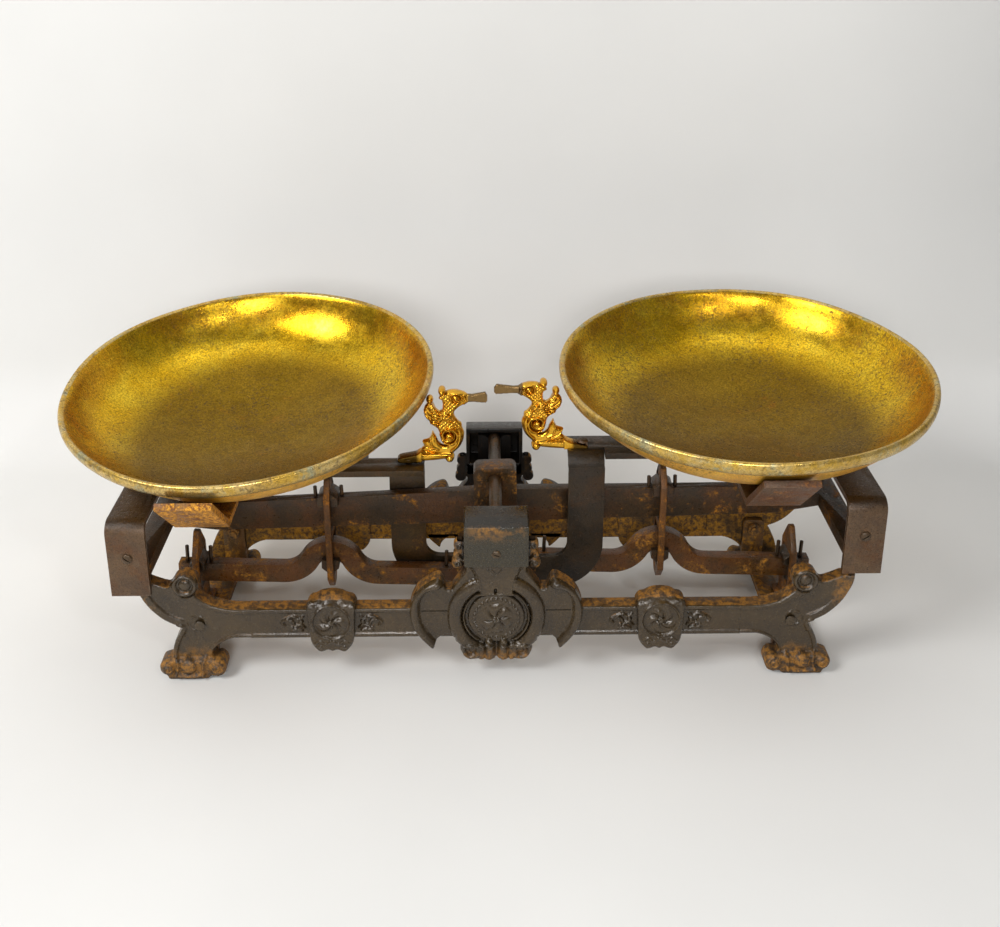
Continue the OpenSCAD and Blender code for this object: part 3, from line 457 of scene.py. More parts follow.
def frame_rust_and_shade(facing):
    """Rust where the frame's paint has gone: feet, flanges, curls and the inner side. Also painted shade: the housing's
    top face darker, its inner faces near-black, and the upper middle of the rear frame near-black.
    """

    def extra(tree, place, colour, share):
        xyz = add(tree, "ShaderNodeSeparateXYZ", {0: add(tree, "ShaderNodeTexCoord").outputs["Object"]}).outputs
        away = sums(tree, "ABSOLUTE", xyz["X"])
        depth = sums(tree, "MULTIPLY", sums(tree, "SUBTRACT", xyz["Y"], MID_Y), -facing)
        foot = sums(tree, "MULTIPLY", between(tree, xyz["Z"], 0.034, 0.014), between(tree, away, 0.19, 0.205))
        end = sums(tree, "MULTIPLY", between(tree, away, 0.243, 0.268), 0.75)
        lobes = sums(tree, "MULTIPLY", between(tree, xyz["Z"], 0.028, 0.02), between(tree, away, 0.1, 0.09))
        top = sums(tree, "MULTIPLY", up_facing(tree), between(tree, depth, 0.0746, 0.0732))
        inner = sums(tree, "MULTIPLY", between(tree, depth, 0.0715, 0.0695), 0.9)
        if facing < 0:
            # painted shade: the upper middle of the rear frame darkened to near-black, with less rust and ochre
            painted_shade = sums(tree, "MULTIPLY", between(tree, away, 0.08, 0.066), between(tree, xyz["Z"], 0.066, 0.074))
            inner = sums(tree, "MULTIPLY", inner, sums(tree, "SUBTRACT", 1.0, sums(tree, "MULTIPLY", painted_shade, 0.95)))
            share = sums(tree, "MULTIPLY", share, sums(tree, "SUBTRACT", 1.0, sums(tree, "MULTIPLY", painted_shade, 0.9)))
            colour = blend_of(tree, sums(tree, "MULTIPLY", painted_shade, 0.88), colour, tone("120d08"))
        where = sums(tree, "MAXIMUM", sums(tree, "MAXIMUM", foot, end), sums(tree, "MAXIMUM", top, sums(tree, "MAXIMUM", inner, sums(tree, "MULTIPLY", lobes, 0.7))))
        torn = use(tree, PATCHES, {"Vector": place, "Scale": 34.0, "Amount": 0.55, "Softness": 0.16})["Mask"]
        strong = sums(tree, "MULTIPLY", where, between(tree, sums(tree, "ADD", torn, where), 0.75, 1.6))
        house = sums(tree, "MULTIPLY", between(tree, xyz["Z"], 0.100, 0.104), between(tree, away, 0.0262, 0.0252))
        colour = blend_of(tree, sums(tree, "MULTIPLY", house, 0.72), colour, tone("2a2719"))
        # painted shade: the housing's top face darker
        colour = blend_of(tree, sums(tree, "MULTIPLY", house, up_facing(tree)), colour, tone("1c150a"))
        # painted shade: the housing's inner faces near-black
        painted_dark_inside = sums(tree, "MULTIPLY", sums(tree, "MULTIPLY", house, between(tree, depth, 0.0835, 0.081)), sums(tree, "SUBTRACT", 1.0, up_facing(tree)))
        colour = blend_of(tree, painted_dark_inside, colour, tone("0d0b08"))
        patch = use(tree, PATCHES, {"Vector": place, "Scale": 62.0, "Amount": 0.58, "Softness": 0.05})["Mask"]
        stain = sums(tree, "MULTIPLY", sums(tree, "MULTIPLY", house, between(tree, xyz["Z"], 0.122, 0.136)), sums(tree, "MULTIPLY", between(tree, away, 0.0255, 0.012), patch))
        stain = sums(tree, "MULTIPLY", stain, between(tree, xyz["Z"], 0.1385, 0.1375))
        plain = sums(tree, "SUBTRACT", 1.0, sums(tree, "MULTIPLY", house, 0.85))
        share = sums(tree, "MULTIPLY", sums(tree, "MAXIMUM", share, strong), plain)
        share = sums(tree, "MAXIMUM", share, sums(tree, "MULTIPLY", stain, 0.75), True)
        # less rust on the housing's top face, which is painted darker as shade
        return colour, sums(tree, "MULTIPLY", share, sums(tree, "SUBTRACT", 1.0, sums(tree, "MULTIPLY", house, sums(tree, "MULTIPLY", up_facing(tree), 0.8))))

    return extra


def painted_dark_top(tree, place, colour, share):
    """Upper faces painted darker as shade, with less ochre."""
    top = up_facing(tree)
    colour = blend_of(tree, sums(tree, "MULTIPLY", top, 0.8), colour, tone("2c1e0c"))
    return colour, sums(tree, "MULTIPLY", share, sums(tree, "SUBTRACT", 1.0, sums(tree, "MULTIPLY", top, 0.7)))


front_paint = old_iron("front frame paint", "33281a", "45361f", "3f2d1a", "96661f", rusted=0.2, ochred=0.06, rough=(0.2, 0.62), metal=0.1,
                       scale=22.0, bump=0.4, extra=frame_rust_and_shade(1), edge_colour="6a5c46", edge_share=0.35, specular=0.6)
rear_paint = old_iron("rear frame paint", "261d0e", "423009", "4a300b", "a06f16", rusted=0.5, ochred=0.42, rough=(0.35, 0.78), metal=0.1,
                      scale=24.0, bump=0.5, seed=2.3, extra=frame_rust_and_shade(-1), edge_colour="6a5a3c", edge_share=0.4)
beam_iron = old_iron("beam iron", "241909", "3c280c", "482a0a", "ac7016", rusted=0.45, ochred=0.28, rough=(0.36, 0.76), metal=0.1, scale=26.0, seed=4.1, bump=0.8, specular=0.4)
lever_iron = old_iron("lever iron", "33210d", "553812", "5a340c", "b0761a", rusted=0.5, ochred=0.34, rough=(0.34, 0.76), metal=0.2, scale=34.0, seed=5.7, bump=0.7)
bracket_steel = old_iron("bracket steel", "4a3726", "61492f", "583719", "86551f", rusted=0.45, ochred=0.14, rough=(0.34, 0.74), metal=0.25, scale=38.0,
                         seed=7.9, edge_colour="97826c", edge_share=0.8, bump=0.9, extra=painted_dark_top)
left_bar_steel = old_iron("left bar steel", "2c2008", "4c350c", "482d09", "8e6212", rusted=0.4, ochred=0.2, rough=(0.38, 0.76), metal=0.2, scale=30.0, seed=9.2, bump=0.7)
right_bar_steel = old_iron("right bar steel", "1d160d", "322616", "3b260f", "7d5920", rusted=0.35, ochred=0.08, rough=(0.36, 0.74), metal=0.1, scale=30.0, seed=3.2, bump=1.0, specular=0.35)
left_tab_steel = old_iron("left rest steel", "6a4512", "a06c1c", "744210", "dc9a2e", rusted=0.4, ochred=0.55, rough=(0.42, 0.78), metal=0.1, scale=34.0,
                          seed=1.4, edge_colour="9b8260", edge_share=0.7, bump=0.8)
right_tab_steel = old_iron("right rest steel", "4a3524", "69503a", "603a1e", "a06a34", rusted=0.5, ochred=0.36, rough=(0.42, 0.78), metal=0.1, scale=44.0,
                           seed=5.4, edge_colour="9b8260", edge_share=0.7, bump=1.0)
post_steel = old_iron("shackle steel", "3a2612", "583c1a", "633c10", "a86c1a", rusted=0.55, ochred=0.42, rough=(0.42, 0.8), metal=0.2, scale=40.0, seed=6.6, bump=0.8)
knife_steel = old_iron("knife steel", "2b2217", "463826", "41290f", "80581c", rusted=0.5, ochred=0.3, rough=(0.34, 0.72), metal=0.3, scale=60.0, seed=3.5)
bearing_iron = old_iron("bearing iron", "0e0b08", "171310", "1c130a", "3c2a12", rusted=0.3, ochred=0.05, rough=(0.6, 0.85), metal=0.0,
                        scale=60.0, seed=3.9, specular=0.15)
screw_steel = old_iron("screw steel", "3a2e20", "5e4c36", "4a3219", "80581f", rusted=0.4, ochred=0.2, rough=(0.32, 0.7), metal=0.35, scale=90.0, seed=8.8)
plate_iron = old_iron("cross member iron", "3a2a0f", "5a4018", "5c3a0e", "aa7416", rusted=0.5, ochred=0.45, rough=(0.45, 0.82), metal=0.15, scale=24.0, seed=2.9, bump=0.7)


def brass(name, low, high, stain, bright, rough=(0.3, 0.5), metal=0.9, scale=14.0, specks=0.35, bump=0.25, seed=0.0, extra=None, grit=0.15, fine=16.0):
    """Old brass: two golds, dark specks, stains and light scratches."""
    material, tree, surface, place = new_material(name)
    moved = add(tree, "ShaderNodeMapping", {"Vector": place, "Location": (seed, seed * 0.6, seed * 0.3)}).outputs[0]
    cloud = use(tree, PATCHES, {"Vector": moved, "Scale": scale, "Amount": 0.5, "Softness": 0.26})
    far = add(tree, "ShaderNodeMapping", {"Vector": moved, "Location": (5.3, 1.2, 8.4)}).outputs[0]
    dense = use(tree, PATCHES, {"Vector": far, "Scale": scale * 0.9, "Amount": 0.5, "Softness": 0.25})["Mask"]
    dark = use(tree, PATCHES, {"Vector": moved, "Scale": scale * fine, "Amount": between(tree, dense, 0.0, 1.0, specks * 0.6, specks * 1.35), "Softness": 0.08})
    light = use(tree, PATCHES, {"Vector": far, "Scale": scale * 2.6, "Amount": 0.4, "Softness": 0.16})
    grain = use(tree, GRAIN, {"Vector": moved, "Scale": 700.0, "Pits": 0.3})
    wear_and_shade = use(tree, WEAR_AND_SHADE, {"Vector": moved, "Width": 0.001, "Reach": 0.004})
    colour = blend_of(tree, cloud["Mask"], tone(low), tone(high))
    colour = blend_of(tree, sums(tree, "MULTIPLY", light["Mask"], 0.45), colour, tone(bright))
    share = dark["Mask"]
    if extra:
        colour, share = extra(tree, place, colour, share)
    colour = blend_of(tree, sums(tree, "MULTIPLY", share, 0.8), colour, tone(stain))
    speck = between(tree, grain["Tone"], 0.32, 0.68, 1 - grit, 1 + grit)
    colour = blend_of(tree, 1.0, colour, add(tree, "ShaderNodeCombineColor", {0: speck, 1: speck, 2: speck}).outputs[0], "MULTIPLY")
    # stain colour in hollows from the occlusion mask: patina together with painted shade
    colour = blend_of(tree, sums(tree, "MULTIPLY", wear_and_shade["Dirt and Shade"], 0.75), colour, tone(stain))
    tree.links.new(colour, surface.inputs["Base Color"])
    roughness = between(tree, share, 0.0, 1.0, rough[0], rough[1])
    tree.links.new(sums(tree, "ADD", roughness, between(tree, cloud["Tone"], 0.3, 0.7, -0.06, 0.08), True), surface.inputs["Roughness"])
    tree.links.new(between(tree, share, 0.0, 1.0, metal, metal * 0.55), surface.inputs["Metallic"])
    tree.links.new(add(tree, "ShaderNodeBump", {"Height": grain["Height"], "Strength": bump, "Distance": 0.0004}).outputs[0], surface.inputs["Normal"])
    return material


def dull_beak_and_shaded_foot(tree, place, colour, share):
    """The flat beaks are bare grey-brown metal, and the outer end of each foot, under the pan, is painted darker as
    shade.
    """
    xyz = add(tree, "ShaderNodeSeparateXYZ", {0: place}).outputs
    near = between(tree, sums(tree, "ABSOLUTE", xyz["X"]), 0.0225, 0.0205)
    high = between(tree, xyz["Z"], 0.193, 0.195)
    beak = sums(tree, "MULTIPLY", near, high)
    colour = blend_of(tree, beak, colour, tone("7d6440"))
    # painted shade: the outer end of each foot, under the pan, darker
    shade_under_pan = sums(tree, "MULTIPLY", between(tree, sums(tree, "ABSOLUTE", xyz["X"]), 0.0595, 0.063), between(tree, xyz["Z"], 0.17, 0.168))
    colour = blend_of(tree, shade_under_pan, colour, tone("5a431a"))
    return colour, sums(tree, "MULTIPLY", share, sums(tree, "SUBTRACT", 1.0, sums(tree, "MULTIPLY", beak, 0.6)))


def pan_stains(green, painted_floor=0.0, orange=0.25):
    """Orange stains and green spots of a well used pan, with its bottom painted darker olive as a painted reflection
    that goes near-black on the near side as painted shade.
    """

    def extra(tree, place, colour, share):
        if painted_floor:
            reach = add(tree, "ShaderNodeAttribute", attribute_name="reach").outputs["Fac"]
            y = add(tree, "ShaderNodeSeparateXYZ", {0: add(tree, "ShaderNodeTexCoord").outputs["Object"]}).outputs["Y"]
            near = between(tree, y, MID_Y + 0.05, MID_Y - 0.12)
            low = sums(tree, "MULTIPLY", between(tree, sums(tree, "SUBTRACT", reach, sums(tree, "MULTIPLY", near, 0.16)), 0.84, 0.58), painted_floor)
            cloud = use(tree, PATCHES, {"Vector": place, "Scale": 13.0, "Amount": 0.5, "Softness": 0.22})["Mask"]
            # painted reflection: the pan's bottom darker olive than its walls
            painted_floor_tone = blend_of(tree, cloud, tone("684e12"), tone("86681e"))
            # painted shade: the near side of the bottom near-black
            painted_floor_tone = blend_of(tree, near, painted_floor_tone, blend_of(tree, cloud, tone("1a1202"), tone("2e2005")))
            colour = blend_of(tree, low, colour, painted_floor_tone)
            rings = add(tree, "ShaderNodeTexNoise", {"Vector": add(tree, "ShaderNodeCombineXYZ", {0: sums(tree, "MULTIPLY", reach, 60.0)}).outputs[0], "Scale": 3.0, "Detail": 4.0})
            shade = between(tree, rings.outputs["Fac"], 0.3, 0.7, 0.93, 1.07)
            colour = blend_of(tree, 1.0, colour, add(tree, "ShaderNodeCombineColor", {0: shade, 1: shade, 2: shade}).outputs[0], "MULTIPLY")
            burnt = use(tree, PATCHES, {"Vector": place, "Scale": 16.0, "Amount": 0.5, "Softness": 0.12})["Mask"]
            colour = blend_of(tree, sums(tree, "MULTIPLY", sums(tree, "MULTIPLY", burnt, between(tree, reach, 0.84, 0.95)), 0.6), colour, tone("a8661a"))
        streak_place = add(tree, "ShaderNodeMapping", {"Vector": place, "Location": (2.2, 4.4, 0.8)}).outputs[0]
        stain = use(tree, PATCHES, {"Vector": streak_place, "Scale": 20.0, "Amount": orange, "Softness": 0.1})["Mask"]
        colour = blend_of(tree, sums(tree, "MULTIPLY", stain, 0.6), colour, tone("a8641e"))
        spots = add(tree, "ShaderNodeMapping", {"Vector": place, "Location": (9.2, 0.4, 3.8)}).outputs[0]
        verdigris = use(tree, PATCHES, {"Vector": spots, "Scale": 34.0, "Amount": green, "Softness": 0.07})["Mask"]
        colour = blend_of(tree, sums(tree, "MULTIPLY", verdigris, 0.75), colour, tone("95a08a"))
        blots = use(tree, PATCHES, {"Vector": spots, "Scale": 26.0, "Amount": 0.1, "Softness": 0.1})["Mask"]
        return colour, sums(tree, "MAXIMUM", share, sums(tree, "MULTIPLY", blots, 0.6))

    return extra


gilt = brass("gilt brass", "cc8e20", "e2aa34", "432708", "f6cc58", rough=(0.2, 0.34), metal=1.0, scale=40.0, specks=0.12, bump=0.12, extra=dull_beak_and_shaded_foot)
pan_inside = brass("pan inside brass", "cc9c18", "dfb426", "4a350c", "f0d446", rough=(0.26, 0.46), metal=1.0, scale=10.0, specks=0.34,
                   extra=pan_stains(0.05, 0.9, 0.14), grit=0.38, bump=0.4, fine=42.0)
pan_rim = brass("pan rim brass", "b68e34", "d0aa48", "5a431a", "dccfa4", rough=(0.28, 0.5), metal=0.75, scale=24.0, specks=0.36, seed=3.0, extra=pan_stains(0.36), grit=0.22)
# the belly's own orange-gold brass, made lighter as painted light on the shaded underside
pan_belly_with_painted_light = brass("pan belly brass with painted light", "e4a22c", "f4bc46", "6a3f14", "fad060", rough=(0.34, 0.55), metal=0.5, scale=18.0, specks=0.3, seed=6.0, extra=pan_stains(0.06, 0, 0.4), grit=0.2)


# Side frames


def both(points):
    """Closed outline from its right half, given from top to bottom."""
    p = [tuple(q) for q in points]
    return curve(p + [(-x, z) for x, z in p[::-1] if abs(x) > 0.01], 5, True)


ARC_OUT = [(19, 92), (28, 86), (34, 76), (37, 62), (36, 50), (31, 41)]
CRESCENT = [(41, 84.5), (44, 87), (50, 84.5), (60, 76), (65.5, 63), (65, 50), (60, 38.5), (51, 28.5), (48, 26.5), (47, 30), (44, 34), (38, 37), (31, 36.5),
            (30, 60), (33, 76), (38, 78)]


def shield_shape():
    heart = shape(both([(0, 107.5), (22, 107.5), (26, 101), (23, 94), (28, 86), (34, 76), (37, 62), (36, 50), (31.5, 41), (31.5, 31), (28, 28), (27.5, 22),
                        (24, 16), (19, 13), (13, 13.5), (8, 14.5), (3, 13), (0, 14.5)]))
    horn = shape(curve(CRESCENT, 5, True))
    ears = [disc(27.2, 112, 4.8), disc(28.2, 103.6, 4.2), disc(29, 96.5, 4.6), disc(25, 104, 6.5)]
    right = all_of(horn, *ears)
    return lambda x, z: np.minimum(heart(x, z), right(np.abs(x), z))


def shield_front(x, z, depth):
    u = np.abs(x)
    r = np.hypot(x, z - 54)
    h = np.full(x.shape, 75.0)
    body = step_up(-away_from(u, z, curve([(60, 76), (64, 62), (62, 47), (54, 35), (49, 29)], 5)), -5.5, 2.5)
    horn_path = curve([(45, 82.5), (55, 79.5), (61.5, 70), (62.5, 58), (60.5, 46), (54.5, 36), (49.5, 29)], 5)
    plate = 73.6 - 4.0 * step_up(z, 72, 2.0) * step_up(u, 33, 3)
    h = np.where(u > 36.5, np.maximum(plate, 74.5 * body), h)
    h = np.maximum(h, np.where(u > 34, 72.5 + ridge(u, z, horn_path, 6.0, 7.4), 0))
    h += ridge(u, z, curve([(50, 75), (55.5, 66), (56.5, 55), (53, 43.5), (46, 36.5)], 5), 1.1, 1.2)
    h = np.maximum(h, np.where(u > 36, 73 + dome(u, z, 44.5, 82.8, 4.3, 5), 0))
    ring = (1 - step_up(z, 90, 3)) * step_up(z, 27, 6)
    bowl = 4.6 * np.sqrt(np.clip(1 - ((r - 32) / 5.6) ** 2, 0, 1))
    h += np.where(u < 37.5, ring * bowl, 0)
    h += np.where(z < 86, 2.6 * np.clip(1 - ((r - 24.8) / 1.5) ** 2, 0, 1), 0) * step_up(z, 33, 3)
    h += np.where(r < 26, -1.2 * (1 - step_up(r, 23.6, 1)) * step_up(r, 21.2, 0.8), 0)
    h += np.where(r < 21.4, 1.2 + 2.4 * np.sqrt(np.clip(1 - (r / 23) ** 2, 0, 1)), 0)
    neck = shape(curve([(0, 103), (20.5, 102), (18, 97), (14.2, 90), (12.6, 83), (12.8, 77), (13.5, 73.5), (0, 75), (-13.5, 73.5), (-12.8, 77),
                        (-12.6, 83), (-14.2, 90), (-18, 97), (-20.5, 102)], 4, True))(x, z)
    inside_neck = step_up(-neck, 0, 1.4)
    h = h * (1 - inside_neck) + inside_neck * (79.2 + 0.03 * (z - 76) - 0.5 * (u / 12) ** 2)
    h += 1.1 * np.clip(1 - np.abs(neck + 0.9) / 0.9, 0, 1) * (z > 76)
    h += ridge(u, z, curve([(28.5, 105), (24.5, 101), (20.5, 98.5), (17, 94), (14.4, 88)], 5), 1.2, 2.4)
    for path in ([(-7, 98.5), (-1, 92.5)], [(-1, 92.5), (4.5, 98.5)], [(-4.4, 98.5), (-1, 95)]):
        h += ridge(x, z, np.array(path, float), 0.6, 0.7)
    h += ridge(x, z, np.array([(-4, 86.3), (-2.6, 86.9)]), 0.6, 0.8)
    h -= ridge(x, z, np.array([(-0.6, 77.5), (-0.6, 80)]), 1.3, 3)
    h = np.maximum(h, 75 + dome(u, z, 5.6, 32.4, 3.4, 5.4))
    low = (z < 31) & (u < 26)
    fold = np.maximum(ridge(u, z, curve([(5.2, 32), (5, 26), (5.4, 20), (6.5, 14)], 5), 3.6, 2.8), ridge(u, z, curve([(11, 30), (11.2, 25), (11.4, 20), (11, 14)], 5), 2.8, 2.0))
    curl = np.maximum(ridge(u, z, spiral(19, 22.5, 7.4, 5.0, 120, -200), 2.6, 2.6), dome(u, z, 18.5, 23, 2.6, 1.2))
    h += np.where(low, np.maximum(fold, curl) - 1.0, 0)
    h -= ridge(x, z, np.array([(0, 31), (0, 15)]), 1.6, 1.6)
    h = np.where((z > 92) & (u > 20.5), h - 5 * step_up(u, 23.5, 3), h)
    h += ridge(u, z, spiral(29, 97, 3.2, 0.6, 200, -200), 1.1, 1.3) + ridge(u, z, spiral(28, 111.6, 2.8, 0.5, 200, -200), 1.0, 1.0)
    swirl = np.arctan2(z - 54, x)
    petal = np.abs(np.cos(3 * swirl + 0.12 * r)) * np.clip((13 - r) / 4, 0, 1) * np.clip(r / 3, 0, 1)
    h += np.where(r < 13, 1.8 * petal**0.6, 0) + dome(x, z, 0, 54, 3.0, 2.4)
    h += 1.5 * np.clip(1 - ((r - 17) / 1.3) ** 2, 0, 1) * (0.5 + 0.5 * np.cos(swirl * 28))
    return h - eased(depth, 2.2)


def flat_back(plane, r=1.0):
    return lambda x, z, depth: plane + eased(depth, r)


def rail_front(x, z, depth):
    """Rail with a lip along both edges and raised scrolls beside the boss."""
    h = 73.3 + 1.7 * step_up(z, 57.6, 1.6) + 1.2 * (1 - step_up(z, 38.6, 1.4))
    for side in (-1, 1):
        v = (x - 125.5) * side - 21
        curls = [curve([(0, 44), (3, 47), (7, 46), (9, 50), (13, 52)], 5), curve([(1, 54), (4, 52), (8, 54.5), (12, 53)], 5),
                 curve([(2, 41.5), (6, 43), (10, 41.5)], 5), curve([(14, 52), (17, 49), (15, 46.5)], 5)]
        for path in curls:
            h += ridge(v, z, path, 1.3, 2.0)
        h += dome(v, z, 2.5, 49.5, 1.8, 2.0) + dome(v, z, 9.5, 44, 1.5, 1.6)
    return h - eased(depth, 1.2)


def rail_back(x, z, depth):
    return 62 + 2.0 * step_up(z, 41, 1.5) * (1 - step_up(z, 57, 1.5)) + eased(depth, 1.0)


BOSS = [(107.5, 58), (106.8, 63), (109.5, 67.4), (113.5, 68.6), (118, 71), (125.5, 72.2), (133, 71), (137.5, 68.6), (141.5, 67.4), (144.2, 63), (143.5, 58), (143, 48),
        (142.3, 36), (140.5, 30), (136.5, 24.8), (133.5, 24), (129, 25.6), (125.5, 24.4), (122, 25.6), (117.5, 24), (114.5, 24.8), (110.5, 30), (108.7, 36), (108, 48)]


def boss_front(x, z, depth):
    """Shell-shaped boss with a whirling rosette."""
    u, w = x - 125.5, z - 51
    r, a = np.hypot(u, w), np.arctan2(w, u)
    h = 77.8 - 0.08 * np.clip(z - 61, 0, 20) ** 2
    h += 1.4 * np.clip(1 - np.abs(r - 14.6) / 1.3, 0, 1)
    well = 1 - step_up(r, 13.2, 1)
    h = h * (1 - well) + well * 77.2
    leaf = np.abs(np.cos(2.5 * a - 0.2 * r))
    h += np.where(r < 12.8, 2.0 * leaf**1.5 * np.clip((13 - r) / 5, 0, 1) * np.clip(r / 3.5, 0, 1), 0)
    h += dome(x, z, 125.5, 51, 2.4, 2.4)
    for off in (-9, 0, 9):
        h += ridge(u, z, np.array([(off * 1.1, 68), (off * 1.2, 74)], float), 5.2, 0.8)
    h += ridge(np.abs(u), z, curve([(1, 34), (5, 31.6), (9, 34.4), (13, 32)], 5), 1.3, 0.9)
    h += dome(np.abs(u), z, 9, 29, 1.6, 1.0)
    return h - eased(depth, 2.2)


ARM_OUTER = [(232, 40), (238, 44.8), (247, 48.6), (256, 54.8), (264.5, 65), (270.5, 77.5), (272, 84)]
ARM_INNER = [(262, 85.5), (254, 82), (248, 80.6), (245, 83.5), (241.5, 88.8), (235, 91.6), (229, 89.8), (225.6, 84.4), (226, 77.8), (228, 74.6), (225, 71), (218, 66), (208, 62.5),
             (198, 61), (186, 61)]
FOOT = [(186, 35), (196, 35.5), (204, 34), (211, 30.5), (216, 26), (218.6, 21), (217.6, 17.6), (213, 17.8), (209.5, 14.6), (208.4, 9.4), (210.2, 4.6), (214.6, 2.4), (219.4, 2.8),
        (222.6, 0.5), (228, 0), (248, 0), (252.6, 0.3), (254, 3.2), (258, 5.8), (259.4, 10.4), (257.4, 15), (252.4, 17), (249, 18.4), (248.6, 24), (246, 33), (241.5, 41.5), (239, 46)]


def arm_shape():
    arm = shape(np.concatenate([curve(ARM_OUTER, 5), [(272, 88)], curve(ARM_INNER, 5), [(186, 35), (236, 35)]]))
    foot = shape(np.concatenate([curve(FOOT, 5), [(186, 48)]]))
    return all_of(arm, foot)


def arm_front(x, z, depth):
    """Sweeping arm with a raised rim, a volute at its inner end and toes rolled at the foot."""
    h = np.full(x.shape, 73.2)
    outer = away_from(x, z, curve(ARM_OUTER, 6))
    h += 1.8 * (1 - step_up(outer, 6.5, 1.5)) * step_up(x, 238, 5)
    top = away_from(x, z, curve([(236, 76), (230, 72), (224, 69), (217, 65.6), (208, 62.5), (198, 61), (186, 61)], 6))
    h += 1.8 * (1 - step_up(top, 4.2, 1.5)) * (1 - step_up(x, 241, 4))
    low = away_from(x, z, curve([(186, 35), (196, 35.5), (204, 34), (211, 30), (216, 24.5), (217.8, 19.5)], 6))
    h += 1.2 * (1 - step_up(low, 2.6, 1.2))
    heel = away_from(x, z, curve([(250, 19), (249, 26), (246, 35), (241, 44)], 6))
    h += 1.4 * (1 - step_up(heel, 4.5, 1.5))
    coil = np.hypot(x - 235, z - 82)
    h = np.where(coil < 9.6, 72.6, h)
    h += ridge(x, z, spiral(235, 82, 8.0, 8.0, 0, 360, 40), 2.2, 2.4) + dome(x, z, 235, 82, 4.6, 2.2)
    h = np.where((z < 19) & (coil > 30), np.maximum(h, 73 + 4 * step_up(-z, -17, 3)), h)
    a = np.arctan2(z - 48.5, x - 228)
    r = np.hypot(x - 228, z - 48.5)
    h += np.where(r < 8, 1.0 * np.clip(1 - ((r - 6.3) / 1.2) ** 2, 0, 1) * np.abs(np.cos(3 * a)), 0)
    for cx, cz, r in ((253.2, 10.2, 6.6), (215, 10.2, 7.4)):
        near = np.clip(1 - (np.hypot(x - cx, z - cz) / r) ** 2, 0, 1)
        h = np.where(near > 0, np.maximum(h, 74 + 5.2 * near**0.4), h) + ridge(x, z, spiral(cx, cz, r - 2.2, 1.0, 90, 560, 40), 1.2, 1.0)
    tongue = dome(x, z, 237, 11.5, 6.6, 4)
    h = np.where(tongue > 0, np.maximum(h, 76 + tongue), h)
    h += ridge(x, z, curve([(226, 4.5), (232, 3.2), (241, 3.2), (247, 4.5)], 4), 2.0, 2.2)
    h += ridge(x, z, curve([(224, 18), (226, 12), (226, 5)], 4), 1.6, 1.6) + ridge(x, z, curve([(246, 19), (245, 12), (246.5, 5)], 4), 1.4, 1.4)
    return h - eased(depth, np.where(z < 5, 0.8, 1.8))


def build_castings():
    """Mesh data of the four kinds of casting on the right half of the front frame."""
    shield = casting(shield_shape(), (-68, 68, 10, 116), 0.55, shield_front, flat_back(62))
    boss = casting(shape(curve(BOSS, 4, True)), (105, 146, 23, 80), 0.5, boss_front, flat_back(61.9, 1.5))
    rail = casting(shape([(31, 35), (112, 35), (112, 61), (31, 61)]), (30, 113, 34, 62), 0.7, rail_front, rail_back)
    rail_out = casting(shape([(138, 35), (188, 35), (188, 61), (138, 61)]), (137, 189, 34, 62), 0.7, rail_front, rail_back)
    arm = casting(arm_shape(), (185, 274, -1, 98), 0.6, arm_front, flat_back(62))
    return shield, boss, rail, rail_out, arm


def prism(section, low, high, axis="x"):
    """Straight solid with a section in the other two axes, in mm."""
    n = len(section)
    points = []
    for end in (low, high):
        for a, b in section:
            points.append((end, a, b) if axis == "x" else (a, end, b))
    mesh = bpy.data.meshes.new("prism")
    made = bmesh.new()
    corners = [made.verts.new(Vector(p) * MM + Vector((0, MID_Y, 0))) for p in points]
    made.faces.new(corners[:n])
    made.faces.new(corners[n:][::-1])
    for i in range(n):
        j = (i + 1) % n
        made.faces.new((corners[i], corners[n + i], corners[n + j], corners[j]))
    bmesh.ops.recalc_face_normals(made, faces=made.faces)
    made.to_mesh(mesh)
    made.free()
    piece = bpy.data.objects.new("prism", mesh)
    bpy.context.scene.collection.objects.link(piece)
    return piece


def finished(piece):
    """The piece with its modifiers made part of its mesh."""
    bpy.context.view_layer.update()
    graph = bpy.context.evaluated_depsgraph_get()
    mesh = bpy.data.meshes.new_from_object(piece.evaluated_get(graph))
    piece.modifiers.clear()
    piece.data = mesh
    return piece


def rounded(piece, width, segments=2, angle=30):
    """Edges broken to a radius in mm."""
    bevel = piece.modifiers.new("round", "BEVEL")
    bevel.width = width * MM
    bevel.segments = segments
    bevel.limit_method = "ANGLE"
    bevel.angle_limit = math.radians(angle)
    bevel.use_clamp_overlap = True
    bevel.harden_normals = False
    return smooth_over(finished(piece), 35)


def cut_out(piece, tool):
    cut = piece.modifiers.new("cut", "BOOLEAN")
    cut.operation = "DIFFERENCE"
    cut.object = tool
    cut.solver = "EXACT"
    finished(piece)
    bpy.data.objects.remove(tool)
    return piece


def one_piece(name, parts, material, body, angle=38):
    """Several finished objects joined under one name, riding on a body."""
    bpy.ops.object.select_all(action="DESELECT")
    for part in parts:
        part.select_set(True)
    bpy.context.view_layer.objects.active = parts[0]
    if len(parts) > 1:
        bpy.ops.object.join()
    piece = parts[0]
    piece.name = name
    piece.data.name = name
    piece.data.materials.clear()
    piece.data.materials.append(material)
    smooth_over(piece, angle)
    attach(piece, body)
    return piece


def housing():
    """Box over a centre bearing, open inwards."""
    box = prism([(-85, 103.5), (-62, 98), (-62, 142.5), (-85, 137.5)], -24, 24)
    box = cut_out(box, prism([(-82, 109), (-55, 109), (-55, 139.5), (-82, 134.5)], -21, 21))
    return rounded(box, 1.0, 3, 40)


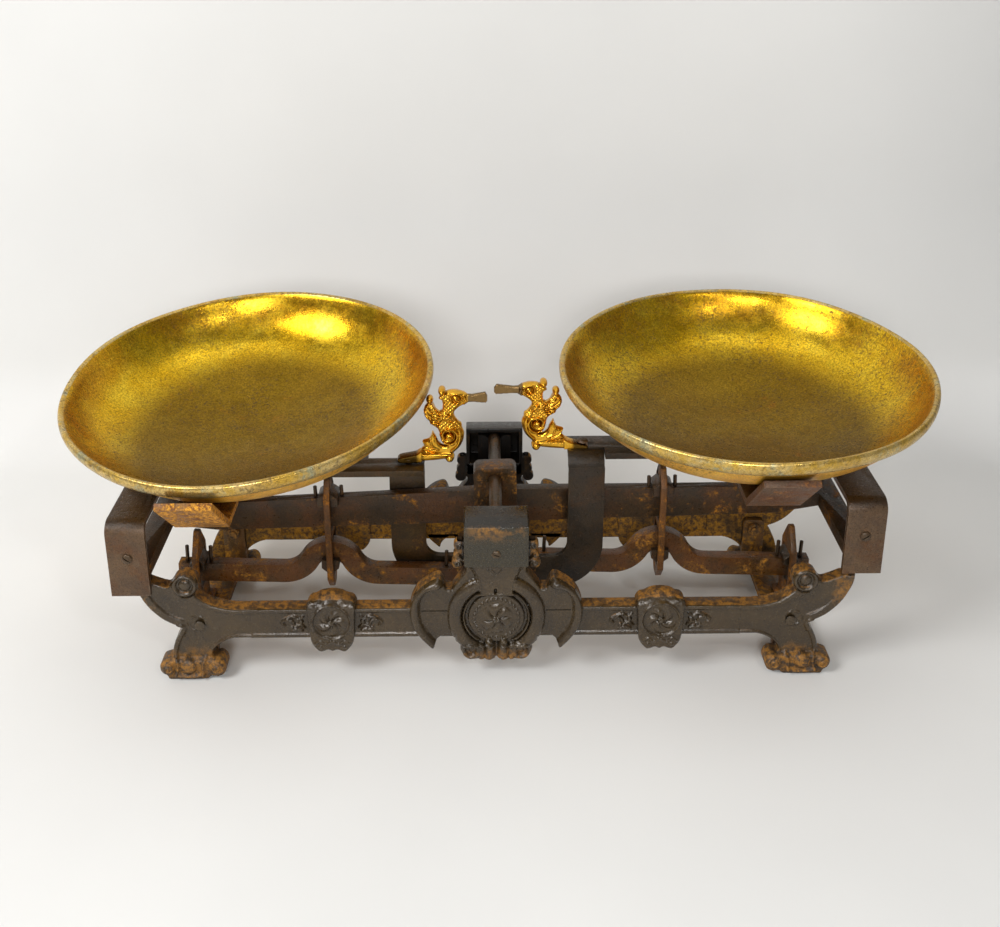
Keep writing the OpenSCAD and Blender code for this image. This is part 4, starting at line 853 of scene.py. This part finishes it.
def as_data(piece):
    """Points in mm and triangles of an object, which is then removed."""
    piece.data.calc_loop_triangles()
    points = np.array([v.co for v in piece.data.vertices]) / MM - np.array([0, MID_Y / MM, 0])
    faces = np.array([t.vertices[:] for t in piece.data.loop_triangles])
    bpy.data.objects.remove(piece)
    return points, faces


def dress_frames():
    shield, boss, rail, rail_out, arm = build_castings()
    house = as_data(housing())
    for node, material, place in (("front_frame", front_paint, lambda part: part), ("rear_frame", rear_paint, turned)):
        made = [
            mesh_of(node + "_shield", *place(joined([shield, house]))),
            mesh_of(node + "_bosses", *place(joined([boss, mirrored(boss)]))),
            mesh_of(node + "_rails", *place(joined([rail, mirrored(rail), rail_out, mirrored(rail_out)]))),
            mesh_of(node + "_arms", *place(joined([arm, mirrored(arm)]))),
        ]
        for piece in made:
            piece.data.materials.append(material)
            smooth_over(piece, 50)
            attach(piece, "base")
        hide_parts(node)


dress_frames()


# Bird-head pointers

BIRD = [(-36, 152.5), (-32, 155), (-27.5, 160), (-25, 166), (-24.4, 172), (-26, 176.4), (-26.3, 179.5), (-29, 182), (-31.6, 186), (-32, 190), (-29.5, 193.2), (-26, 195.6),
        (-22, 197.2), (-20, 200), (-20.5, 203.5), (-24, 206.3), (-31, 208.3), (-36, 208), (-39.5, 206), (-42.5, 204), (-44, 201.5), (-41.5, 199.5), (-41, 196), (-41.6, 191),
        (-44, 190.4), (-46.6, 193), (-48.4, 197), (-49.8, 200.6), (-52, 199.8), (-53.6, 196.6), (-55.4, 193.6), (-56, 189.4), (-54.6, 185), (-52, 182), (-50.8, 179), (-46.6, 176.8),
        (-44.6, 173.6), (-44, 168.8), (-45.6, 167), (-47.2, 169.4), (-49.4, 172.8), (-50.2, 170), (-52.4, 166.4), (-57.4, 164.4), (-56.2, 160.2), (-58, 156.4), (-46, 153.4)]
BEAK = [(-24, 198.2), (-16, 198.3), (-7.2, 197.3), (-6, 199), (-6, 203.4), (-7.5, 206.4), (-18, 204.4), (-24, 205)]


def pointer_shape():
    bird = shape(curve(BIRD, 4, True))
    crescent = shape(curve([(-44.2, 172.6), (-43.6, 168), (-41.4, 163.6), (-37.6, 161.4), (-41, 160.8), (-44.6, 163.6), (-46, 168)], 4, True))
    beak = shape(BEAK)
    balls = all_of(disc(-41.4, 207.8, 2.9), disc(-51, 200.4, 2.9))
    foot = shape(curve([(-32.4, 150.2), (-35, 154.5), (-46, 155.8), (-58, 156.2), (-63, 153.6), (-76, 150.6), (-76, 146.4), (-64, 146.4), (-50, 147.4), (-40, 148.6)], 4, True))
    return all_of(without(bird, crescent), beak, balls, foot, disc(-36, 150, 3.6))


def pointer_front(x, z, depth):
    """Rounded cast body with volute, feathers, eye and flat beak."""
    k = np.clip(depth / 3.4, 0, 1)
    h = 0.5 + 3.0 * np.sqrt(1 - (1 - k) ** 2)
    is_beak = (x > -22.5) & (z > 194)
    h = np.where(is_beak, np.minimum(h, 1.5 + 0.05 * np.abs(x + 6)), h)
    plain = h.copy()
    h += ridge(x, z, spiral(-36.6, 170, 8.4, 2.6, -150, 390), 1.3, 1.3) + dome(x, z, -36.6, 170, 3.0, 2.0)
    h -= ridge(x, z, spiral(-36.6, 170, 6.4, 1.2, -150, 300), 0.9, 0.7)
    h += ridge(x, z, curve([(-34, 157), (-29.5, 161.5), (-27.6, 168), (-28.4, 175), (-32, 180.5)], 5), 1.4, 0.9)
    for i in range(6):
        t = i / 5
        root = (-40.5 - 3.5 * t, 188 - 9 * t)
        tip = (-51.6 - 4.2 * math.sin(2.4 * t), 199.5 - 18 * t)
        h -= ridge(x, z, curve([root, ((root[0] + tip[0]) / 2 - 0.8, (root[1] + tip[1]) / 2 - 1.4), tip], 5), 0.75, 0.9)
    h += ridge(x, z, curve([(-33, 183.5), (-38, 188.5), (-44.6, 190.6), (-48.6, 195.6), (-50.8, 200)], 5), 1.3, 1.0)
    h += dome(x, z, -36, 185, 3.2, 1.3) + dome(x, z, -40.4, 186.2, 2.6, 1.2)
    h += dome(x, z, -30.4, 202.4, 2.9, 1.6) + dome(x, z, -30.4, 202.4, 1.4, 0.9) + ridge(x, z, spiral(-30.4, 202.4, 4.2, 4.2, 0, 360), 0.7, 0.8)
    h += ridge(x, z, curve([(-26, 206), (-32, 207), (-38.5, 206), (-42.5, 202.6)], 5), 1.2, 0.8)
    h += ridge(x, z, curve([(-24, 197.6), (-23.2, 201), (-24.2, 205)], 5), 1.1, 1.0)
    h += np.maximum(dome(x, z, -41.4, 207.8, 3.1, 2.4), dome(x, z, -51, 200.4, 2.9, 1.8))
    h += ridge(x, z, curve([(-45, 158), (-49.5, 161), (-51, 166.5), (-49.4, 171.5)], 5), 0.9, 0.8) - ridge(x, z, curve([(-47, 157.5), (-53, 160), (-56, 163.6)], 5), 0.8, 0.8)
    h += ridge(x, z, curve([(-36, 153.5), (-46, 153.6), (-58, 153.4)], 5), 1.3, 1.3) + dome(x, z, -36, 150, 3.6, 2.2)
    scales = (x > -50) & (x < -24) & (z > 176) & (z < 206) & (np.hypot(x + 30.4, z - 202.4) > 5)
    h += np.where(scales, 0.5 * np.abs(np.sin(1.05 * (x + z))) * np.abs(np.sin(0.95 * (z - x))), 0)
    h = plain + 1.45 * (h - plain)
    return np.where((x < -58) & (z < 156), 4.5 - eased(depth, 1.0), h)


def dress_pointers():
    bird = casting(pointer_shape(), (-86, -4, 145, 214), 0.42, pointer_front, lambda x, z, depth: -pointer_front(x, z, depth))
    points, faces = mirrored(bird)
    points = points + [-3.6, 0, 10.2]
    points[:, 2] = np.where(points[:, 2] > 180, 180 + (points[:, 2] - 180) * 0.9, points[:, 2])
    points[:, 0] = np.where((points[:, 0] < 14) & (points[:, 2] > 190), 14 + (points[:, 0] - 14) * 1.28, points[:, 0])
    for side, data in (("left", bird), ("right", (points, faces))):
        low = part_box(side + "_pointer")[0].z / MM
        place = data[0].copy()
        place[:, 2] = np.maximum(place[:, 2], low)
        piece = mesh_of(side + "_bird_pointer", place, data[1], gilt)
        smooth_over(piece, 60)
        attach(piece, side + "_carrier")
        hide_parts(side + "_pointer")


dress_pointers()


# Pans

FLOOR_R, EDGE, SLOPE, SHEET = 300.0, 142.9, math.radians(70), 2.0
FLOOR_A = math.asin(EDGE * 0.7 / FLOOR_R)
SIDE_R = (EDGE - EDGE * 0.7) / (math.sin(SLOPE) - math.sin(FLOOR_A))
SIDE_X = EDGE * 0.7 - SIDE_R * math.sin(FLOOR_A)
SIDE_Z = (SIDE_R - FLOOR_R) * math.cos(FLOOR_A)
EDGE_Z = SIDE_Z - SIDE_R * math.cos(SLOPE)


def pan_section():
    """Section from the middle of the underside, round the turned rim, to the middle of the inside, with the finish of each stretch."""
    section = []
    for i in range(15):
        a = FLOOR_A * i / 14
        section.append((FLOOR_R * math.sin(a), -FLOOR_R * math.cos(a), 2))
    last = SLOPE - math.radians(8.2)
    for i in range(1, 15):
        a = FLOOR_A + (last - FLOOR_A) * i / 14
        section.append((SIDE_X + SIDE_R * math.sin(a), SIDE_Z - SIDE_R * math.cos(a), 2))
    for i in range(25):
        a = math.radians(-22 + 252 * i / 24)
        u, v = 4.5 + 6.2 * math.cos(a), 1.2 + 3.2 * math.sin(a)
        section.append((EDGE - u * math.cos(SLOPE) + v * math.sin(SLOPE), EDGE_Z - u * math.sin(SLOPE) - v * math.cos(SLOPE), 1))
    r = SIDE_R - SHEET
    for i in range(16):
        a = SLOPE - math.radians(3.2) - (SLOPE - math.radians(3.2) - FLOOR_A) * i / 15
        section.append((SIDE_X + r * math.sin(a), SIDE_Z - r * math.cos(a), 0))
    r = FLOOR_R - SHEET
    for i in range(1, 16):
        a = FLOOR_A * (1 - i / 15)
        section.append((r * math.sin(a), -r * math.cos(a), 0))
    return section


def dress_pan(side, sign, lean_front, lean_side, lift, seed):
    section = pan_section()
    count = 224
    points, faces, kinds = [(0.0, 0.0, section[0][1])], [], []
    turns = np.arange(count) * 2 * math.pi / count
    rows = section[1:-1]
    for r, z, _ in rows:
        share = (r / EDGE) ** 3
        wobble = share * (0.8 * np.sin(2 * turns + seed) + 0.5 * np.sin(3 * turns + 2.1 * seed) + 0.25 * np.sin(7 * turns + seed * 3))
        sag = share * (0.7 * np.sin(2 * turns + 1.3 + seed) + 0.4 * np.sin(5 * turns + seed))
        dent = 0.5 * np.exp(-((r - 80) / 30) ** 2) * np.sin(4 * turns + seed) + 0.35 * np.exp(-((r - 40) / 25) ** 2) * np.sin(3 * turns)
        for t, w, g in zip(turns, wobble, sag + dent):
            points.append(((r + w) * math.cos(t), (r + w) * math.sin(t), z + g))
    points.append((0.0, 0.0, section[-1][1]))
    points = np.array(points)
    for k in range(count):
        m = (k + 1) % count
        faces.append((0, 1 + m, 1 + k, 1 + k))
    top = len(points) - 1
    quads = []
    for i in range(len(rows) - 1):
        a = 1 + i * count
        for k in range(count):
            m = (k + 1) % count
            quads.append((a + k, a + m, a + count + m, a + count + k))
            kinds.append(rows[i + 1][2])
    a = 1 + (len(rows) - 1) * count
    made = bmesh.new()
    cr, sr = math.cos(math.radians(lean_front)), math.sin(math.radians(lean_front))
    cs, ss = math.cos(math.radians(-lean_side)), math.sin(math.radians(-lean_side))
    x, y, z = points.T
    y, z = y * cr - z * sr, y * sr + z * cr
    x, z = x * cs + z * ss, -x * ss + z * cs
    middle = lift
    place = np.stack([x + middle[0], y, z + middle[1]], 1) * MM + np.array([0, MID_Y, 0])
    corners = [made.verts.new(p) for p in place]
    for k in range(count):
        m = (k + 1) % count
        made.faces.new((corners[0], corners[1 + m], corners[1 + k])).material_index = 2
        made.faces.new((corners[a + k], corners[a + m], corners[top])).material_index = 0
    for quad, kind in zip(quads, kinds):
        made.faces.new([corners[i] for i in quad]).material_index = kind
    mesh = bpy.data.meshes.new(side + "_brass_pan")
    made.to_mesh(mesh)
    made.free()
    reach = np.concatenate([[0], np.repeat([q[0] for q in rows], count), [0]]) / EDGE
    mesh.attributes.new("reach", "FLOAT", "POINT").data.foreach_set("value", reach.astype(np.float32))
    piece = bpy.data.objects.new(side + "_brass_pan", mesh)
    bpy.context.scene.collection.objects.link(piece)
    for material in (pan_inside, pan_rim, pan_belly_with_painted_light):
        mesh.materials.append(material)
    smooth_over(piece, 50)
    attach(piece, side + "_bowl")
    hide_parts(side + "_pan")


dress_pan("left", -1, 7.0, 2.0, (-204.714, 445.659), 0.6)
dress_pan("right", 1, 3.8, 1.0, (194.099, 459.952), 2.4)


# Bars, plates, levers and small parts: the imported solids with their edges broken


def fold_strap(piece, side):
    """The strap is the bar's own plate, folded down over a round corner."""
    sign = 1 if side == "right" else -1
    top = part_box(side + "_pointer")[0].z / MM
    low, high = sorted((sign * 57.0, sign * (86.3 if side == "right" else 102.0)))
    arc = [math.radians(180 - 90 * i / 8) for i in range(9)]
    out = [(-4 + 11 * math.cos(a), top - 11 + 11 * math.sin(a)) for a in arc]
    back = [(-4 + 6 * math.cos(a), top - 11 + 6 * math.sin(a)) for a in reversed(arc)]
    corner = [(-17, top - 11), (-4, top - 11), (-4, top + 2), (-17, top + 2)]
    cut_out(piece, prism([(y * sign, z) for y, z in corner], low, high))
    fold = prism([(y * sign, z) for y, z in out + back], low + 0.4, high - 0.4)
    bpy.ops.object.select_all(action="DESELECT")
    fold.select_set(True)
    piece.select_set(True)
    bpy.context.view_layer.objects.active = piece
    bpy.ops.object.join()


def soften(node, material, width, segments=2):
    """A copy of a node with rounded edges, which then stands for the node."""
    source = frame["nodes"][node]
    piece = bpy.data.objects.new(node + "_worn", source.data.copy())
    bpy.context.scene.collection.objects.link(piece)
    made = bmesh.new()
    made.from_mesh(piece.data)
    bmesh.ops.remove_doubles(made, verts=made.verts, dist=0.00002)
    bmesh.ops.dissolve_limit(made, angle_limit=math.radians(1.5), verts=made.verts, edges=made.edges)
    made.to_mesh(piece.data)
    made.free()
    if node.endswith("carrier_bar"):
        fold_strap(piece, node.split("_")[0])
    rounded(piece, width, segments, 32)
    piece.data.materials.clear()
    piece.data.materials.append(material)
    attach(piece, source["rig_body"])
    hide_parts(node)
    return piece


def build_fasteners():
    """Node tree that sets a slotted or plain head, its shank and a nut on each point."""
    tree = bpy.data.node_groups.new("fasteners", "GeometryNodeTree")
    tree.interface.new_socket(name="Geometry", in_out="INPUT", socket_type="NodeSocketGeometry")
    for label, value in (("Head Radius", 0.004), ("Head Height", 0.0016), ("Slot Width", 0.0009), ("Slot Depth", 0.0009), ("Shank Radius", 0.0025),
                         ("Shank Length", 0.01), ("Nut Radius", 0.001), ("Nut Place", 0.005)):
        tree.interface.new_socket(name=label, in_out="INPUT", socket_type="NodeSocketFloat").default_value = value
    tree.interface.new_socket(name="Finish", in_out="INPUT", socket_type="NodeSocketMaterial")
    tree.interface.new_socket(name="Geometry", in_out="OUTPUT", socket_type="NodeSocketGeometry")
    given, out = tree.nodes.new("NodeGroupInput").outputs, tree.nodes.new("NodeGroupOutput").inputs

    def vector(x=0.0, y=0.0, z=0.0):
        return add(tree, "ShaderNodeCombineXYZ", {0: x, 1: y, 2: z}).outputs[0]

    def moved(geometry, z=0.0, scale=None):
        values = {"Geometry": geometry, "Translation": vector(z=z)}
        if scale is not None:
            values["Scale"] = scale
        return add(tree, "GeometryNodeTransform", values).outputs[0]

    ball = add(tree, "GeometryNodeMeshUVSphere", {"Segments": 32, "Rings": 16, "Radius": given["Head Radius"]}).outputs[0]
    head = moved(ball, 0.0, vector(1.0, 1.0, sums(tree, "DIVIDE", given["Head Height"], given["Head Radius"])))
    bar = add(tree, "GeometryNodeMeshCube", {"Size": vector(sums(tree, "MULTIPLY", given["Head Radius"], 3.0), given["Slot Width"], 0.004)}).outputs[0]
    bar = moved(bar, sums(tree, "ADD", sums(tree, "SUBTRACT", given["Head Height"], given["Slot Depth"]), 0.002))
    slotted = add(tree, "GeometryNodeMeshBoolean", {0: head}, operation="DIFFERENCE", solver="EXACT")
    tree.links.new(bar, slotted.inputs[1])
    shank = add(tree, "GeometryNodeMeshCylinder", {"Vertices": 24, "Radius": given["Shank Radius"], "Depth": given["Shank Length"]}).outputs[0]
    shank = moved(shank, sums(tree, "MULTIPLY", given["Shank Length"], -0.5))
    nut = add(tree, "GeometryNodeMeshCylinder", {"Vertices": 6, "Radius": given["Nut Radius"], "Depth": 0.004}).outputs[0]
    nut = moved(nut, sums(tree, "MULTIPLY", given["Nut Place"], -1.0))
    whole = add(tree, "GeometryNodeJoinGeometry")
    for part in (slotted.outputs[0], shank, nut):
        tree.links.new(part, whole.inputs[0])
    turn = add(tree, "GeometryNodeInputNamedAttribute", {"Name": "turn"}, data_type="FLOAT_VECTOR").outputs[0]
    turn = add(tree, "FunctionNodeEulerToRotation", {0: turn}).outputs[0]
    many = add(tree, "GeometryNodeInstanceOnPoints", {"Points": given["Geometry"], "Instance": whole.outputs[0], "Rotation": turn}).outputs[0]
    real = add(tree, "GeometryNodeRealizeInstances", {0: many}).outputs[0]
    tree.links.new(add(tree, "GeometryNodeSetMaterial", {"Geometry": real, "Material": given["Finish"]}).outputs[0], out[0])
    return tree


FASTENERS = build_fasteners()


def fasten(node, places, sizes, finish):
    """Screws or bolts set on points, as one mesh that stands for their node."""
    mesh = bpy.data.meshes.new(node + "_points")
    mesh.from_pydata([place for place, _ in places], [], [])
    mesh.attributes.new("turn", "FLOAT_VECTOR", "POINT").data.foreach_set("vector", [a for _, turn in places for a in turn])
    piece = bpy.data.objects.new(node + "_heads", mesh)
    bpy.context.scene.collection.objects.link(piece)
    modifier = piece.modifiers.new("fasteners", "NODES")
    modifier.node_group = FASTENERS
    for item in FASTENERS.interface.items_tree:
        if item.item_type == "SOCKET" and item.in_out == "INPUT":
            if item.name in sizes:
                modifier[item.identifier] = sizes[item.name] * MM
            elif item.name == "Finish":
                modifier[item.identifier] = finish
    smooth_over(finished(piece), 35)
    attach(piece, frame["nodes"][node]["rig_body"])
    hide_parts(node)


def heads_on(node, xs, seat, slots):
    """Points on the front and rear faces of a node's screws, with the turn of each slot."""
    low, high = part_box(node)
    z = (low.z + high.z) / 2
    places = []
    for x, slot in zip(xs, slots):
        places.append(((x, low.y + seat * MM, z), (math.radians(90), math.radians(slot), 0)))
        places.append(((x, high.y - seat * MM, z), (math.radians(-90), math.radians(-slot - 25), 0)))
    return places


for side, slot in (("left", 38), ("right", -35)):
    low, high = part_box(side + "_bracket_screws")
    fasten(side + "_bracket_screws", heads_on(side + "_bracket_screws", [(low.x + high.x) / 2], 2.2, [slot]),
           {"Head Radius": 4.0, "Head Height": 1.8, "Slot Width": 1.0, "Slot Depth": 1.0, "Shank Length": 11.0}, screw_steel)
fasten("centre_bearing_screws", heads_on("centre_bearing_screws", [0.0], 2.2, [20]),
       {"Head Radius": 3.4, "Head Height": 1.6, "Slot Width": 0.9, "Slot Depth": 0.9, "Shank Length": 12.0}, screw_steel)
bolt_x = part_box("frame_bolts")[1].x - 5.7 * MM
fasten("frame_bolts", heads_on("frame_bolts", [-bolt_x, bolt_x], 2.0, [0, 0]),
       {"Head Radius": 4.2, "Head Height": 1.0, "Slot Depth": -1.0, "Shank Radius": 3.0, "Shank Length": 24.0, "Nut Radius": 5.7, "Nut Place": 20.0}, front_paint)

for side in ("left", "right"):
    soften(side + "_cross_member", plate_iron, 0.8)
    soften(side + "_fulcrum_post", post_steel, 0.7)
    soften(side + "_link", post_steel, 0.6)
    soften(side + "_lever", lever_iron, 1.6, 3)
    soften(side + "_lever_knives", knife_steel, 0.2, 1)
    soften(side + "_lever_pins", knife_steel, 0.4)
    soften(side + "_carrier_bar", left_bar_steel if side == "left" else right_bar_steel, 0.8)
    soften(side + "_cross_bar", left_tab_steel if side == "left" else right_tab_steel, 1.9, 4)
    soften(side + "_end_bracket", bracket_steel, 0.9)
    soften(side + "_end_bearings", knife_steel, 0.4)
    soften(side + "_carrier_rivets", bracket_steel, 0.4)
soften("beam", beam_iron, 1.0)
soften("centre_bearings", bearing_iron, 0.5)
soften("centre_knife", knife_steel, 0.3)
soften("end_knives", knife_steel, 0.2, 1)
soften("link_knives", knife_steel, 0.2, 1)
soften("beam_pins", knife_steel, 0.4)


# Floor, backdrop, camera and lights


def studio_paper(name, colour, rough):
    material, tree, surface, place = new_material(name)
    cloud = add(tree, "ShaderNodeTexNoise", {"Vector": place, "Scale": 3.0, "Detail": 3.0}).outputs["Fac"]
    shade = between(tree, cloud, 0.3, 0.7, 0.97, 1.02)
    xyz = add(tree, "ShaderNodeSeparateXYZ", {0: place}).outputs
    # painted shade: the paper's wall darker toward its right side
    painted_shade_right = sums(tree, "MULTIPLY", between(tree, xyz["X"], 0.3, 1.0), between(tree, xyz["Z"], 0.0, 0.3))
    shade = sums(tree, "MULTIPLY", shade, sums(tree, "SUBTRACT", 1.0, sums(tree, "MULTIPLY", painted_shade_right, 0.5)))
    mixed = blend_of(tree, 1.0, tone(colour), add(tree, "ShaderNodeCombineColor", {0: shade, 1: shade, 2: shade}).outputs[0], "MULTIPLY")
    tree.links.new(mixed, surface.inputs["Base Color"])
    surface.inputs["Roughness"].default_value = rough
    surface.inputs["Specular IOR Level"].default_value = 0.2
    behind = sums(tree, "MULTIPLY", add(tree, "ShaderNodeNewGeometry").outputs["Backfacing"], add(tree, "ShaderNodeLightPath").outputs["Is Camera Ray"])
    clear = add(tree, "ShaderNodeBsdfTransparent")
    mixed = add(tree, "ShaderNodeMixShader", {0: behind, 1: surface.outputs[0], 2: clear.outputs[0]})
    out = next(n for n in tree.nodes if n.type == "OUTPUT_MATERIAL")
    tree.links.new(mixed.outputs[0], out.inputs["Surface"])
    return material


def sweep():
    """Paper that lies under the scale and rises behind it."""
    section = [(-2.4, 0.0), (0.22, 0.0)]
    for i in range(1, 13):
        a = math.radians(90 * i / 12)
        section.append((0.22 + 0.09 * math.sin(a), 0.09 - 0.09 * math.cos(a)))
    section.append((0.33, 2.2))
    points = [(x, y, z) for y, z in section for x in (-3.0, 3.0)]
    faces = [(2 * i, 2 * i + 1, 2 * i + 3, 2 * i + 2) for i in range(len(section) - 1)]
    mesh = bpy.data.meshes.new("paper")
    mesh.from_pydata(points, [], faces)
    mesh.materials.append(studio_paper("studio paper", "e6e5e2", 0.75))
    mesh.shade_smooth()
    piece = bpy.data.objects.new("paper", mesh)
    bpy.context.scene.collection.objects.link(piece)


def lamp(name, place, aim, size, power, colour=(1, 1, 1)):
    light = bpy.data.lights.new(name, "AREA")
    light.shape = "RECTANGLE"
    light.size, light.size_y = size
    light.energy = power
    light.color = colour
    piece = bpy.data.objects.new(name, light)
    piece.location = place
    piece.rotation_euler = (Vector(aim) - Vector(place)).to_track_quat("-Z", "Y").to_euler()
    bpy.context.scene.collection.objects.link(piece)


sweep()
lamp("key", (-1.3, -0.95, 1.55), (0, 0, 0.1), (0.8, 0.65), 24)
lamp("front", (-0.1, -1.7, 0.85), (0, 0, 0.1), (0.45, 0.3), 11.5)
lamp("top", (0, 0.1, 2.2), (0, 0, 0), (1.8, 1.0), 7)
lamp("spark", (0.5, -1.2, 1.2), (0, 0, 0.1), (0.09, 0.09), 2.2)
world = bpy.data.worlds.new("studio")
world.use_nodes = True
world.node_tree.nodes["Background"].inputs[0].default_value = (0.96, 0.98, 1.0, 1)
world.node_tree.nodes["Background"].inputs[1].default_value = 0.25
bpy.context.scene.world = world

lens = bpy.data.cameras.new("view")
lens.lens = 42.345
lens.sensor_width = 36
lens.shift_y = -0.2005
camera = bpy.data.objects.new("view", lens)
camera.location = (-0.00845, -0.83276 + MID_Y, 0.6037)
camera.rotation_euler = (math.radians(90 - 19.26), 0, math.radians(-0.85))
bpy.context.scene.collection.objects.link(camera)
bpy.context.scene.camera = camera
bpy.context.scene.view_settings.view_transform = "Standard"
